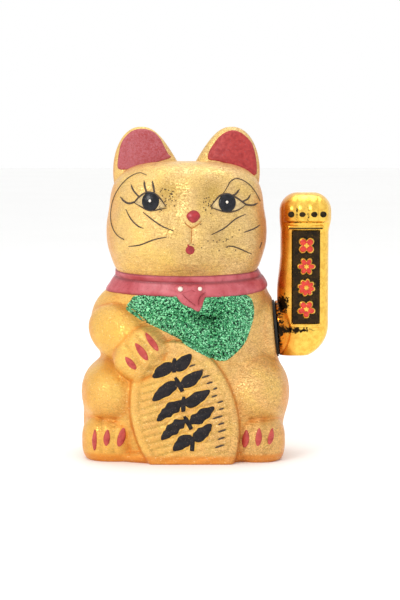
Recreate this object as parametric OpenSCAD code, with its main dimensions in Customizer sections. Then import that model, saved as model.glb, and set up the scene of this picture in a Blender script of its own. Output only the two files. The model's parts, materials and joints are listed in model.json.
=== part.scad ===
// Beckoning cat: hollow ceramic figurine with a magnet-driven swinging arm.
// Millimetres. +X is the viewer's right, the cat looks along -Y, +Z is up.
// Origin: centre of the whole figure's footprint box, on the standing surface.

/* [Ceramic body] */
// Half width across the hips
hip_r = 60; // [59:0.5:62]
// Half depth of the hips, front to back
hip_depth_r = 46; // [46:0.5:47.5]
// Half width of the cheeks
head_r = 47.2; // [46:0.1:49]
// Height of the middle of the head
head_z = 137; // [136:1:138]
// Height of the tips of the ears
ear_tip_z = 195; // [190:0.5:200]
// Wall of the casting
wall = 4.5; // [3.5:0.5:5]
// Radius of the opening in the underside
opening_r = 41.5; // [41.5:0.1:42]

/* [Shoulder] */
// Height of the axle where it leaves the body
pivot_z = 74.5; // [73:0.5:76]
// Upward tilt of the axle, square to the sloping shoulder
axle_tilt = 5; // [0:1:6]
// Radius of the axle
axle_r = 1.5; // [1.4:0.05:1.5]
// Radial running clearance in the bushes
running_gap = 0.05; // [0.03:0.01:0.08]

/* [Arm] */
// Width of the forearm
arm_w = 29.4; // [28:0.1:30]
// Half depth of the forearm
arm_depth_r = 12.5; // [12:0.1:13.5]
// Height of the top of the raised paw
paw_top_z = 156; // [154:0.5:160]
// Wall of the plastic arm shells
arm_wall = 1.8; // [1.6:0.1:2.2]
// Height of the dark plaque on the forearm
panel_h = 56; // [54:0.5:57]
// Width of the plaque
panel_w = 16.5; // [15:0.5:17]

/* [Drive] */
// Radius at which the bottom of the magnet swings
pendulum_r = 50; // [49:0.5:51]
// Radius of the drive magnet
magnet_r = 5; // [4:0.5:5]
// Radius of the coil former's flanges
coil_r = 9; // [8:0.5:9]

/* [Battery bay] */
// Radius of an AA cell
cell_r = 7.1; // [7:0.05:7.1]
// Length of an AA cell's can
cell_l = 49.5; // [49:0.1:49.8]
// Travel of the switch slider
switch_travel = 3; // [2:0.5:3]

/* [Hidden] */
$fn = 64;

// the figure stands left of the origin, because the arm widens it on the right
body_x = -13.6;
far = 200;
hair = 0.01;

// Frames

module figure() {
    translate([body_x, 0, 0]) children();
}

// frame of the axle: +X outward along it, origin on the shoulder's flat face
shoulder_x = 55.2;
module pivot() {
    figure() translate([shoulder_x, 0, pivot_z]) rotate([0, -axle_tilt, 0]) children();
}

// a cylinder along X from a to b
module rod(r, a, b) {
    translate([a, 0, 0]) rotate([0, 90, 0]) cylinder(r = r, h = b - a);
}

// a block given by its two corners
module block(a, b) {
    translate(a) cube(b - a);
}

// Sculpted form

// rotation matrices, in degrees
function turn_x(a) = [[1, 0, 0], [0, cos(a), -sin(a)], [0, sin(a), cos(a)]];
function turn_y(a) = [[cos(a), 0, sin(a)], [0, 1, 0], [-sin(a), 0, cos(a)]];
function turn_z(a) = [[cos(a), -sin(a), 0], [sin(a), cos(a), 0], [0, 0, 1]];
function transposed(m) = [for (j = [0:2]) [m[0][j], m[1][j], m[2][j]]];
no_turn = turn_x(0);

// the body is a blend of rounded lumps:
// [centre, half sizes, plan exponent, height exponent, turn, blend radius]
coin_turn = turn_x(-5) * turn_y(-15.6) * turn_x(90);
lumps = [
    [[0.8, 1, 27], [hip_r, hip_depth_r, 33.5], 2.5, 4, no_turn, 0],
    [[1, 0, 3], [59, 49.5, 6], 2.1, 3, no_turn, 2],
    [[3.8, 4, 70], [50.4, 41, 50], 2.3, 3, no_turn, 9],
    [[2.7, -1, head_z], [head_r - 1.2, 38, 37.5], 2.6, 3.6, turn_z(3), 3],
    [[2.7, -2, head_z - 4], [head_r, 38.5, 26], 2.5, 2.5, turn_z(3), 4],
    [[5, -31, 124], [21, 11, 12], 2, 2, no_turn, 9],
    [[-39, -12, 39], [20, 34, 19.5], 2.2, 2.2, turn_z(-6), 4],
    [[43.5, -12, 39], [19.5, 34, 20], 2.2, 2.2, turn_z(6), 9],
    [[-40.5, -22, 11], [18.5, 20.5, 17], 2.2, 2.6, no_turn, 1.5],
    [[45, -24, 11], [16, 21.5, 17], 2.3, 2.6, no_turn, 1.5],
    [[-40, -3, 78], [14.6, 26, 21], 2, 2, no_turn, 5],
    [[-36, -26.5, 74], [22, 14, 16], 2.2, 2, turn_z(-40) * turn_y(24), 1.5],
    [[-23.5, -38, 62.5], [14.5, 11.5, 16], 2.6, 2.6, turn_y(38), 1.5],
    [[1.8, -41.5, 27], [30.8, 45, 7], 2, 8, coin_turn, 1.2],
    [[42, 0, pivot_z - 1.2], [18.5, 18.5, 13.2], 2, 10, turn_y(90 - axle_tilt), 6],
    [[12, 42, 23], [24, 8, 7], 2, 2, turn_y(-18), 4]
];
lump_frames = [for (l = lumps) transposed(l[4])];

function power(x, e) = x < 1e-6 ? 0 : exp(e * ln(x));

// size of a point against a rounded lump: 1 on its surface
function lump_size(q, r, p, n) =
    let (plan = power(abs(q.x / r.x), p) + power(abs(q.y / r.y), p))
    power(power(plan, n / p) + power(abs(q.z / r.z), n), 1 / n);

// radial distance from a lump's surface, negative inside
function lump_gap(pt, i) =
    let (q = lump_frames[i] * (pt - lumps[i][0]),
         f = max(lump_size(q, lumps[i][1], lumps[i][2], lumps[i][3]), 0.05))
    norm(q) * (1 - 1 / f);

function blended(a, b, k) =
    k == 0 ? min(a, b) : min(a, b) - pow(max(k - abs(a - b), 0), 2) / (4 * k);

function body_gap(pt, i = 1, g = undef) =
    g == undef ? body_gap(pt, 1, lump_gap(pt, 0))
    : i == len(lumps) ? g
    : body_gap(pt, i + 1, blended(g, lump_gap(pt, i), lumps[i][5]));

// distance along a ray from the spine to the skin, by halving
function reach(o, d, inset, lo = 5, hi = 90, steps = 9) =
    let (mid = (lo + hi) / 2)
    steps == 0 ? mid
    : body_gap(o + mid * d) < -inset
        ? reach(o, d, inset, mid, hi, steps - 1)
        : reach(o, d, inset, lo, mid, steps - 1);

crown_z = 136;          // rays are level up to here, then fan out to the crown
spine_lean = 2.7;       // the head sits a little to the right of the seat

function spine(z) = [spine_lean * min(max((z - 56) / 60, 0), 1), -1, z];

// one ring of skin points: levels 0..1 are level rays, 1..2 the fan; the rays stand closer
// together at the front and low down, where the coin and the paws are
function skin_ring(level, z_low, inset, sides) =
    let (s = min(level, 1),
         z = z_low + (crown_z - z_low) * (0.72 * s + 0.28 * s * s * s),
         lift = 90 * max(level - 1, 0))
    [for (i = [0:sides - 1])
        let (u = 360 * i / sides,
             a = u + 28 * sin(u + 90),
             d = [cos(a) * cos(lift), sin(a) * cos(lift), sin(lift)])
        spine(z) + reach(spine(z), d, inset) * d];

// closed surface through rings of points, with a flat foot and a pole on top
module ringed(rings, pole) {
    n = len(rings[0]);
    m = len(rings);
    pts = concat([for (r = rings) each r], [pole]);
    foot = [[for (i = [0:n - 1]) i]];
    sides = [for (j = [0:m - 2], i = [0:n - 1])
        let (a = j * n + i, b = j * n + (i + 1) % n)
        each [[a, a + n, b + n], [a, b + n, b]]];
    cap = [for (i = [0:n - 1]) [(m - 1) * n + i, m * n, (m - 1) * n + (i + 1) % n]];
    polyhedron(pts, concat(foot, sides, cap), convexity = 10);
}

module cat_form(z_low, inset, sides, levels, fans) {
    rings = concat(
        [for (j = [0:levels]) skin_ring(j / levels, z_low, inset, sides)],
        [for (j = [1:fans - 1]) skin_ring(1 + j / fans, z_low, inset, sides)]);
    top = spine(crown_z) + [0, 0, reach(spine(crown_z), [0, 0, 1], inset)];
    ringed(rings, top);
}

// one ear: a leaning rounded blade, rising from its root inside the head to its tip;
// t is the share of its height
ear_root_z = 160;
ear_gap = 2.7;          // the ears mirror about this line
function ear_middle(t) = 20.5 + 6.5 * (1 - pow(1 - t, 1.8));
function ear_half_w(t) = 22.5 * pow(1 - pow(t, 1.3), 0.45);
function ear_half_t(t) = 11 * pow(1 - pow(t, 1.6), 0.5);
module ear(side) {
    h = ear_tip_z - ear_root_z;
    rings = [for (j = [0:11])
        let (t = 1 - pow(1 - j / 12, 1.5))
        [for (i = [0:23])
            let (a = 15 * i)
            [ear_gap + ear_middle(t) + ear_half_w(t) * cos(a),
             3 + ear_half_t(t) * sin(a), ear_root_z + h * t]]];
    tip = [ear_gap + ear_middle(1), 3, ear_tip_z];
    if (side > 0) ringed(rings, tip);
    else translate([2 * ear_gap, 0, 0]) mirror([1, 0, 0]) ringed(rings, tip);
}

module ceramic_body() {
    seat_r = 17.5;      // flat seat of the shoulder flange
    hole_r = cage_r + 0.15;
    color("goldenrod") difference() {
        figure() resize([0, 0, 0]) union() {
            cat_form(0, 0, 78, 43, 9);
            ear(1);
            ear(-1);
        }
        figure() cat_form(7, wall, 32, 16, 5);
        figure() translate([0, 0, -1]) cylinder(r = opening_r, h = 9);
        pivot() rod(seat_r, 0, 12);
        pivot() rod(hole_r, -16, 1);
    }
}

// Base and cells

lever_x = -30;          // middle of the pendulum's hub, in along the axle
plate_low = 1.4;        // underside of the base plate
plate_top = 5.6;
bay_x = -25;            // battery bay, inside corners
bay_x2 = bay_x + 4 * cell_r + 0.6;
bay_y = 28;
bay_top = 20.8;
bay_wall = 1.5;
door_t = 2;
door_z = 2.9;           // middle of the door and of its hinge
door_margin = 1;        // how far the door covers the edge of the bay
door_gap = 0.25;
hinge_y = bay_y + door_margin - door_t / 2;
hinge_pin_r = 0.8;
hinge_pin_l = 1.2;
switch_x = 14;
switch_y = -22;
coil_x = shoulder_x + lever_x * cos(axle_tilt) + pendulum_r * sin(axle_tilt);
coil_low = plate_top;
coil_h = 15;

// posts that carry the circuit board
posts = [[8.5, 15.5], [22.5, 15.5], [8.5, 27.5], [22.5, 27.5]];
board_low = 12;
board_t = 1.6;

module base_plate() {
    color([0.1, 0.1, 0.11]) figure() difference() {
        union() {
            translate([0, 0, plate_low]) cylinder(r = opening_r, h = plate_top - plate_low);
            block([bay_x - bay_wall, -bay_y - bay_wall, plate_low + 1],
                  [bay_x2 + bay_wall, bay_y + bay_wall, bay_top + bay_wall]);
            for (p = posts) translate([p.x, p.y, plate_top - 1])
                cylinder(r = 2, h = board_low - plate_top + 1);
        }
        // room for the cells
        block([bay_x, -bay_y, plate_low - 1], [bay_x2, bay_y, bay_top]);
        // recess of the door, and the sockets of its hinge pins
        block([bay_x - door_margin - door_gap, -bay_y - door_margin - door_gap, 0],
              [bay_x2 + door_margin + door_gap, bay_y + door_margin + door_gap,
               door_z + door_t / 2 + door_gap]);
        translate([0, hinge_y, door_z])
            rod(hinge_pin_r + running_gap, bay_x - door_margin - hinge_pin_l - 0.3,
                bay_x2 + door_margin + hinge_pin_l + 0.3);
        // slot of the switch knob
        block([switch_x - 2.1, switch_y - 4.2, 0], [switch_x + 2.1, switch_y + 4.2, far]);
        for (p = posts) translate([p.x, p.y, plate_top])
            cylinder(r = 0.9, h = board_low);
    }
}

module battery_door() {
    low_x = bay_x - door_margin;
    high_x = bay_x2 + door_margin;
    low_z = door_z - door_t / 2;
    color([0.12, 0.12, 0.13]) figure() difference() {
        union() {
            block([low_x, -bay_y - door_margin, low_z], [high_x, hinge_y, low_z + door_t]);
            // rounded edge and pins that the door turns on
            translate([0, hinge_y, door_z]) {
                rod(door_t / 2, low_x, high_x);
                rod(hinge_pin_r, low_x - hinge_pin_l, high_x + hinge_pin_l);
            }
        }
        // finger grip: three grooves across the door
        for (i = [0:2]) translate([(low_x + high_x) / 2 - 6, -bay_y + 4 + 2 * i, low_z])
            rotate([0, 90, 0]) cylinder(r = 0.6, h = 12);
    }
}

// the two cells lie side by side, turned end for end
cell_z = bay_top - cell_r;
cell_low_y = -24.4;
nub_l = 1.2;
module each_cell() {
    figure() translate([bay_x + 0.2 + cell_r, 0, cell_z]) rotate([0, 0, 180]) children();
    figure() translate([bay_x2 - 0.2 - cell_r, 0, cell_z]) children();
}

module battery_cells() {
    color("darkgreen") each_cell() rotate([-90, 0, 0]) {
        translate([0, 0, cell_low_y]) cylinder(r = cell_r, h = cell_l);
        translate([0, 0, cell_low_y + cell_l]) cylinder(r = 2.7, h = nub_l);
    }
}

// round tube through a list of points
function ahead(p, i) =
    let (a = p[max(i - 1, 0)], b = p[min(i + 1, len(p) - 1)]) (b - a) / norm(b - a);
function tube_ring(p, i, r, sides) =
    let (t = ahead(p, i),
         side = cross(t, abs(t.z) > 0.9 ? [0, 1, 0] : [0, 0, 1]),
         u = side / norm(side),
         v = cross(t, u))
    [for (k = [0:sides - 1]) p[i] + r * (cos(360 * k / sides) * u + sin(360 * k / sides) * v)];
module tube(p, r, sides) {
    n = sides;
    m = len(p);
    rings = [for (i = [0:m - 1]) each tube_ring(p, i, r, sides)];
    start = [[for (k = [0:n - 1]) n - 1 - k]];
    end = [[for (k = [0:n - 1]) (m - 1) * n + k]];
    walls = [for (j = [0:m - 2], k = [0:n - 1])
        let (a = j * n + k, b = j * n + (k + 1) % n)
        each [[a, b, b + n], [a, b + n, a + n]]];
    polyhedron(rings, concat(start, end, walls), convexity = 6);
}

// points of a smooth curve through the route, four to a stretch
function smooth(p) = let (n = len(p)) concat(
    [for (i = [0:n - 2], s = [0:3])
        let (t = s / 4, a = p[max(i - 1, 0)], b = p[i], c = p[i + 1], d = p[min(i + 2, n - 1)])
        0.5 * (2 * b + (c - a) * t + (2 * a - 5 * b + 4 * c - d) * t * t
               + (3 * b - a - 3 * c + d) * t * t * t)],
    [p[n - 1]]);

module battery_springs() {
    wire_r = 0.35;
    turns = 3.5;
    steps = 40;
    gap = bay_y + cell_low_y - 2 * wire_r;
    color("silver") each_cell() tube(
        [for (i = [0:steps])
            let (s = i / steps, a = 360 * turns * s, r = 4.2 - 1.6 * s)
            [r * cos(a), -bay_y + wire_r + gap * s, r * sin(a)]], wire_r, 6);
}

module battery_plates() {
    y = cell_low_y + cell_l + nub_l;
    color("silver") each_cell() block([-4, y, -4], [4, bay_y, 4]);
}

module switch_body() {
    color([0.15, 0.15, 0.16]) figure() difference() {
        block([switch_x - 4.5, switch_y - 7, plate_top], [switch_x + 4.5, switch_y + 7, 11]);
        block([switch_x - 2.9, switch_y - 5, plate_top - 1], [switch_x + 2.9, switch_y + 5, 9]);
    }
}

module switch_slider() {
    rest_y = switch_y - switch_travel / 2;
    color("dimgray") figure() {
        block([switch_x - 1.8, rest_y - 2.2, 1.8], [switch_x + 1.8, rest_y + 2.2, 6]);
        block([switch_x - 2.6, rest_y - 3.2, 6], [switch_x + 2.6, rest_y + 3.2, 8.6]);
    }
}

module circuit_board() {
    color("darkgreen") figure() difference() {
        block([6.5, 13, board_low], [25, 30, board_low + board_t]);
        for (p = posts) translate([p.x, p.y, 0]) cylinder(r = 1.1, h = far);
    }
}

board_top = board_low + board_t;
module capacitor() {
    color("navy") figure() translate([12, 21, board_top]) cylinder(r = 2.5, h = 7);
}

module driver_chip() {
    color([0.08, 0.08, 0.08]) figure() {
        block([16.5, 19, board_top], [20.5, 24, board_top + 1.6]);
        for (i = [0:3]) {
            y = 19.4 + 1.27 * i;
            block([15.4, y, board_top], [16.5, y + 0.4, board_top + 0.6]);
            block([20.5, y, board_top], [21.6, y + 0.4, board_top + 0.6]);
        }
    }
}

// pan-head screw, head upwards, its head seated at z = 0
module screw(head_r, head_h, shank_r, shank_l) {
    difference() {
        union() {
            cylinder(r = head_r, h = head_h);
            translate([0, 0, -shank_l]) cylinder(r = shank_r, h = shank_l);
        }
        block([-head_r * 0.7, -0.25, head_h * 0.5], [head_r * 0.7, 0.25, head_h + 1]);
        block([-0.25, -head_r * 0.7, head_h * 0.5], [0.25, head_r * 0.7, head_h + 1]);
    }
}

module board_screws() {
    color("silver") figure() for (p = posts)
        translate([p.x, p.y, board_top]) screw(1.7, 1.2, 0.9, 6);
}

module coil_bobbin() {
    color("ivory") figure() translate([coil_x, 0, coil_low]) difference() {
        union() {
            cylinder(r = coil_r, h = 1.5);
            cylinder(r = 4.5, h = coil_h);
            translate([0, 0, coil_h - 1.5]) cylinder(r = coil_r, h = 1.5);
        }
        translate([0, 0, 1.5]) cylinder(r = 3, h = coil_h);
    }
}

module coil_winding() {
    color("chocolate") figure() translate([coil_x, 0, coil_low + 1.5]) difference() {
        cylinder(r = coil_r - 0.8, h = coil_h - 3);
        translate([0, 0, -1]) cylinder(r = 4.5, h = coil_h);
    }
}

// wires: routes from the battery contacts to the board and on to the coil
lead_r = 0.6;
red_route = [[-3, 30, 15], [-3, 31.4, 16.5], [0, 32.5, 18], [5, 32.5, 18.5], [9, 30, 17.8],
             [12, 27.4, 16.4], [12, 27, 15], [12, 27, 13.65]];
black_route = [[-18, 30, 15], [-18, 31.4, 17], [-14, 33, 19], [-6, 34.5, 21], [4, 35, 21],
               [12, 33, 19.5], [15.5, 29.6, 17.8], [16.5, 27.4, 16.4], [16.5, 27, 15],
               [16.5, 27, 13.65]];
coil_route_a = [[18, 15.5, 13.65], [18, 15.5, 15.2], [21, 13, 17], [26, 11, 16],
                [28, 9.6, 14], [28.2, 8.45, 13]];
coil_route_b = [[20, 15.5, 13.65], [20, 15.5, 15.2], [24, 12.6, 16.2], [30, 11.4, 14.6],
                [31.6, 9.6, 12], [31, 8.45, 11]];

module lead_red() {
    color("red") figure() tube(smooth(red_route), lead_r, 8);
}

module lead_black() {
    color([0.1, 0.1, 0.1]) figure() tube(smooth(black_route), lead_r, 8);
}

module coil_leads() {
    color("sienna") figure() {
        tube(smooth(coil_route_a), 0.25, 8);
        tube(smooth(coil_route_b), 0.25, 8);
    }
}

// Pivot and pendulum

flange_t = 1.4;
cage_r = 8;
cage_in_r = 5.6;
cage_end = -44;
cage_wall = 3;
outer_wall = 6;
bush_r = 3;
hub_r = 4;
hub_l = 8;
lever_t = 3;            // thickness of the pendulum's bar
clamp_x = lever_x + 3;  // clamping screw of the hub
clamp_r = 0.9;
rivet_z = -32;          // rivet of the counterweight
rivet_r = 1.2;

module pivot_frame() {
    color([0.12, 0.1, 0.08]) pivot() difference() {
        union() {
            rod(17, 0, flange_t);
            rod(cage_r, cage_end, hair);
        }
        // inside of the cage
        rod(cage_in_r, cage_end + cage_wall, -outer_wall);
        // window for the lever
        block([cage_end + cage_wall, -far, -far], [-outer_wall, far, -0.5]);
        // seats of the bushes
        rod(bush_r, cage_end - 1, flange_t + 1);
    }
}

module bush(a, b) {
    difference() {
        rod(bush_r, a, b);
        rod(axle_r + running_gap, a - 1, b + 1);
    }
}

module bush_outer() {
    color("peru") pivot() bush(-outer_wall, flange_t);
}

module bush_inner() {
    color("peru") pivot() bush(cage_end, cage_end + cage_wall);
}

axle_in = -49;
clip_x = -46.5;         // groove of the retaining clip
clip_w = 0.8;
axle_out = 14;
hub_end = 15;           // blind end of the arm's hub
module axle() {
    color("silver") pivot() difference() {
        rod(axle_r, axle_in, axle_out);
        // groove of the clip
        difference() {
            rod(axle_r + 1, clip_x, clip_x + clip_w);
            rod(axle_r - 0.4, clip_x - 1, clip_x + 2);
        }
    }
}

module axle_clip() {
    color("gray") pivot() difference() {
        rod(3.2, clip_x + 0.1, clip_x + clip_w - 0.1);
        rod(axle_r - 0.4, clip_x - 1, clip_x + 2);
        // open side that snaps over the axle
        block([clip_x - 1, -0.9, -far], [clip_x + 2, 0.9, 0]);
    }
}

module pendulum_lever() {
    bar_end = -(pendulum_r - 4);
    color("whitesmoke") pivot() difference() {
        union() {
            rod(hub_r, lever_x - hub_l / 2, lever_x + hub_l / 2);
            block([lever_x - lever_t / 2, -3, bar_end], [lever_x + lever_t / 2, 3, -2]);
            // cup that holds the magnet
            translate([lever_x, 0, bar_end]) cylinder(r = magnet_r + 1.5, h = 4);
        }
        rod(axle_r, lever_x - hub_l, lever_x + hub_l);
        translate([lever_x, 0, bar_end - 1]) cylinder(r = magnet_r + 0.05, h = 3);
        // hole of the clamping screw
        translate([clamp_x, 0, -hub_r - 1]) cylinder(r = clamp_r, h = hub_r + 1);
        // hole of the counterweight's rivet
        translate([0, 0, rivet_z]) rod(rivet_r + 0.05, lever_x - 3, lever_x + 3);
    }
}

module lever_screw() {
    under_head = hub_r - axle_r + 0.05;
    color("silver") pivot() translate([clamp_x, 0, -axle_r]) mirror([0, 0, 1]) {
        cylinder(r = clamp_r, h = under_head);
        translate([0, 0, under_head]) cylinder(r = 1.4, h = 1);
    }
}

module counterweight() {
    half_w = 9;
    face_x = lever_x + lever_t / 2;
    back_x = lever_x - lever_t / 2;
    color("slategray") pivot() {
        block([face_x, -half_w, rivet_z - half_w], [face_x + 8.5, half_w, rivet_z + half_w]);
        // rivet through the lever
        translate([0, 0, rivet_z]) rod(rivet_r, back_x, face_x + hair);
        translate([0, 0, rivet_z]) rod(2, back_x - 1, back_x);
    }
}

module drive_magnet() {
    color("dimgray") pivot() translate([lever_x, 0, -pendulum_r])
        cylinder(r = magnet_r, h = 6);
}

// Arm

arm_low_z = 57;
elbow_r = 20;
arm_right = 58.2 + arm_w;
paw_r = 11;             // rounding of the top of the paw
paw_low_z = 137.5;      // where the paw swells out of the wrist

function bump(x, a, b) = let (s = min(max((x - a) / (b - a), 0), 1)) s * s * (3 - 2 * s);

// right and left edges, and half depth, of the arm at height z
function arm_edge(z) = arm_right + 1.5 * bump(z, paw_low_z - 6, paw_low_z + 4)
    - (z < arm_low_z + elbow_r
       ? elbow_r - sqrt(max(pow(elbow_r, 2) - pow(arm_low_z + elbow_r - z, 2), 0)) : 0);
function arm_inner(z) = 58.2 - 1.2 * bump(z, 76, 91) + 2 * bump(z, 96, 121)
    - 0.6 * bump(z, paw_low_z - 6, paw_low_z + 4);
function arm_deep(z) = arm_depth_r + 1.2 * bump(z, paw_low_z - 6, paw_low_z + 4)
    - (z < 68.5 ? 5 * (1 - sqrt(max(1 - pow((68.5 - z) / 11.5, 2), 0))) : 0);

// section of the arm at share t of its height, shrunk by an inset
function arm_ring(t, inset, sides) =
    let (z = arm_low_z + inset + (paw_top_z - arm_low_z - 2 * inset) * (1 - cos(180 * t)) / 2,
         drop = max(z - (paw_top_z - inset - paw_r), 0) / paw_r,
         close = paw_r * (1 - sqrt(max(1 - drop * drop, 0))),
         xr = arm_edge(z) - inset - close,
         xl = arm_inner(z) + inset + close,
         b = arm_deep(z) - inset - close)
    [for (i = [0:sides - 1])
        let (a = 360 * i / sides, c = cos(a), s = sin(a))
        [(xr + xl) / 2 + (xr - xl) / 2 * sign(c) * power(abs(c), 0.7),
         b * sign(s) * power(abs(s), 0.7), z]];

module arm_form(inset, sides, levels) {
    rings = [for (j = [0:levels]) arm_ring(0.02 + 0.95 * j / levels, inset, sides)];
    last = rings[levels];
    middle = (last[0] + last[sides / 2]) / 2;
    figure() ringed(rings, [middle.x, 0, paw_top_z - inset]);
}

panel_z = 76.9;
panel_x = 74.2;
panel_back_y = 0.7 - arm_depth_r;    // back of the plaque, floor of its recess
screw_spots = [[73, 67.5], [74.2, 142]];
arm_hub_r = 6;
boss_face = 1.8;        // the arm's flat shoulder face, out along the axle

module arm_half(side) {
    intersection() {
        difference() {
            union() {
                difference() {
                    union() {
                        arm_form(0, 40, 30);
                        pivot() rod(16.5, boss_face, 7);
                    }
                    arm_form(arm_wall, 28, 20);
                }
                figure() for (s = screw_spots)
                    translate([s.x, side * 0.05, s.y]) rotate([-90 * side, 0, 0])
                        cylinder(r = 3, h = arm_deep(s.y) - 1, $fn = 24);
                pivot() rod(9, boss_face, 9);
            }
            if (side < 0) figure() block([panel_x - panel_w / 2, -far, panel_z],
                                  [panel_x + panel_w / 2, panel_back_y, panel_z + panel_h]);
        }
        if (side > 0) block([-far, 0, 0], [far, far, far]);
        else block([-far, -far, 0], [far, 0, far]);
    }
}

module arm_front_shell() {
    color("gold") difference() {
        resize([0, 0, 0]) arm_half(-1);
        pivot() rod(arm_hub_r + 0.05, 0, hub_end + 0.05);
        figure() for (s = screw_spots)
            translate([s.x, -7, s.y]) rotate([-90, 0, 0]) cylinder(r = 1.2, h = 8);
    }
}

module arm_rear_shell() {
    color("gold") difference() {
        resize([0, 0, 0]) arm_half(1);
        pivot() rod(arm_hub_r + 0.05, 0, hub_end + 0.05);
        figure() for (s = screw_spots) {
            translate([s.x, -1, s.y]) rotate([-90, 0, 0]) cylinder(r = 1.5, h = 20);
            translate([s.x, 7, s.y]) rotate([-90, 0, 0]) cylinder(r = 2.4, h = 20);
        }
    }
}

module arm_panel() {
    motif_pitch = 13;
    motif_r = 4.6;
    motif_h = 0.5;
    front_y = -arm_depth_r - 0.4;
    color([0.2, 0.15, 0.05]) figure() {
        block([panel_x - panel_w / 2, front_y, panel_z],
              [panel_x + panel_w / 2, panel_back_y, panel_z + panel_h]);
        for (i = [0:3])
            translate([panel_x, front_y, panel_z + panel_h / 2 + (i - 1.5) * motif_pitch])
                rotate([90, 0, 0]) cylinder(r = motif_r, h = motif_h);
    }
}

module arm_hub() {
    color("white") pivot() difference() {
        rod(arm_hub_r, boss_face, hub_end);
        rod(axle_r, boss_face - 1, axle_out);
    }
}

module arm_screws() {
    color("silver") figure() for (s = screw_spots)
        translate([s.x, 7, s.y]) rotate([-90, 0, 0]) screw(2.2, 1.4, 1.2, 12);
}

ceramic_body();
base_plate();
battery_door();
battery_cells();
battery_springs();
battery_plates();
switch_body();
switch_slider();
circuit_board();
capacitor();
driver_chip();
board_screws();
coil_bobbin();
coil_winding();
lead_red();
lead_black();
coil_leads();
pivot_frame();
bush_outer();
bush_inner();
axle();
axle_clip();
arm_hub();
arm_front_shell();
arm_rear_shell();
arm_panel();
arm_screws();
pendulum_lever();
lever_screw();
counterweight();
drive_magnet();
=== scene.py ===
import json
import math

import bmesh
import bpy
import numpy as np
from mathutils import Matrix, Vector


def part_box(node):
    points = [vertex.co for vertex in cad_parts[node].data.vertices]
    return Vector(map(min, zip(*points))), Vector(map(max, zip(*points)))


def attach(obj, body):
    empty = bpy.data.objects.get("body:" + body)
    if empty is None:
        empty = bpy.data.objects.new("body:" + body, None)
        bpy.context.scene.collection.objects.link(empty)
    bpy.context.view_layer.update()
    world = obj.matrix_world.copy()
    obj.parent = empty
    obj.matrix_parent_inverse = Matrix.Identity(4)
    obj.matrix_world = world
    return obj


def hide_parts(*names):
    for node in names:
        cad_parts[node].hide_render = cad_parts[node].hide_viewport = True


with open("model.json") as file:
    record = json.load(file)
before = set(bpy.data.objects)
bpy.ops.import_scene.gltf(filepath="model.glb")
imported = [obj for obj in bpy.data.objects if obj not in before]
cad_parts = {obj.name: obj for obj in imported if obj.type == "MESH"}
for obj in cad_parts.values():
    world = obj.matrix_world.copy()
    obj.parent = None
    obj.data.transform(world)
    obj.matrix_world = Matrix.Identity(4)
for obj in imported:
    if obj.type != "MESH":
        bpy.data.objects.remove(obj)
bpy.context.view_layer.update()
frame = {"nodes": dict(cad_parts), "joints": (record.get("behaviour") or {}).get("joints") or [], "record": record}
mm = 0.001
chance = np.random.default_rng(7)

# The cat is a ceramic casting painted gold. Its form is a blend of rounded lumps, worked out in
# millimetres about the middle of the seat; everything painted on it hugs that form.
seatLow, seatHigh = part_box("base_plate")
figureX = (seatLow[0] + seatHigh[0]) / 2 / mm      # the seat stands left of the origin
openingR = (seatHigh[0] - seatLow[0]) / 2 / mm     # round opening of the underside
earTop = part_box("ceramic_body")[1][2] / mm
swing = [j for j in frame["joints"] if j["name"] == "arm_swing"][0]
pivotZ = swing["pos_m"][2] / mm
pivotX = swing["pos_m"][0] / mm - figureX
axleTilt = math.degrees(math.atan2(swing["axis"][2], swing["axis"][0]))


def turnX(a):
    # rotation matrices by an angle in degrees about X, Y and Z
    c, s = math.cos(math.radians(a)), math.sin(math.radians(a))
    return np.array([[1, 0, 0], [0, c, -s], [0, s, c]])


def turnY(a):
    c, s = math.cos(math.radians(a)), math.sin(math.radians(a))
    return np.array([[c, 0, s], [0, 1, 0], [-s, 0, c]])


def turnZ(a):
    c, s = math.cos(math.radians(a)), math.sin(math.radians(a))
    return np.array([[c, -s, 0], [s, c, 0], [0, 0, 1]])


noTurn = np.eye(3)
coin = {
    "centre": (1.8, -41.5, 27),
    "halfSize": (30.8, 45, 7),
    "turn": turnX(-5) @ turnY(-15.6) @ turnX(90),
    "rim": 1.3,          # how far the rim stands up
    "ridges": 0.55,      # height of the ridges across it
    "ridgePitch": 4.1,
}

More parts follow.
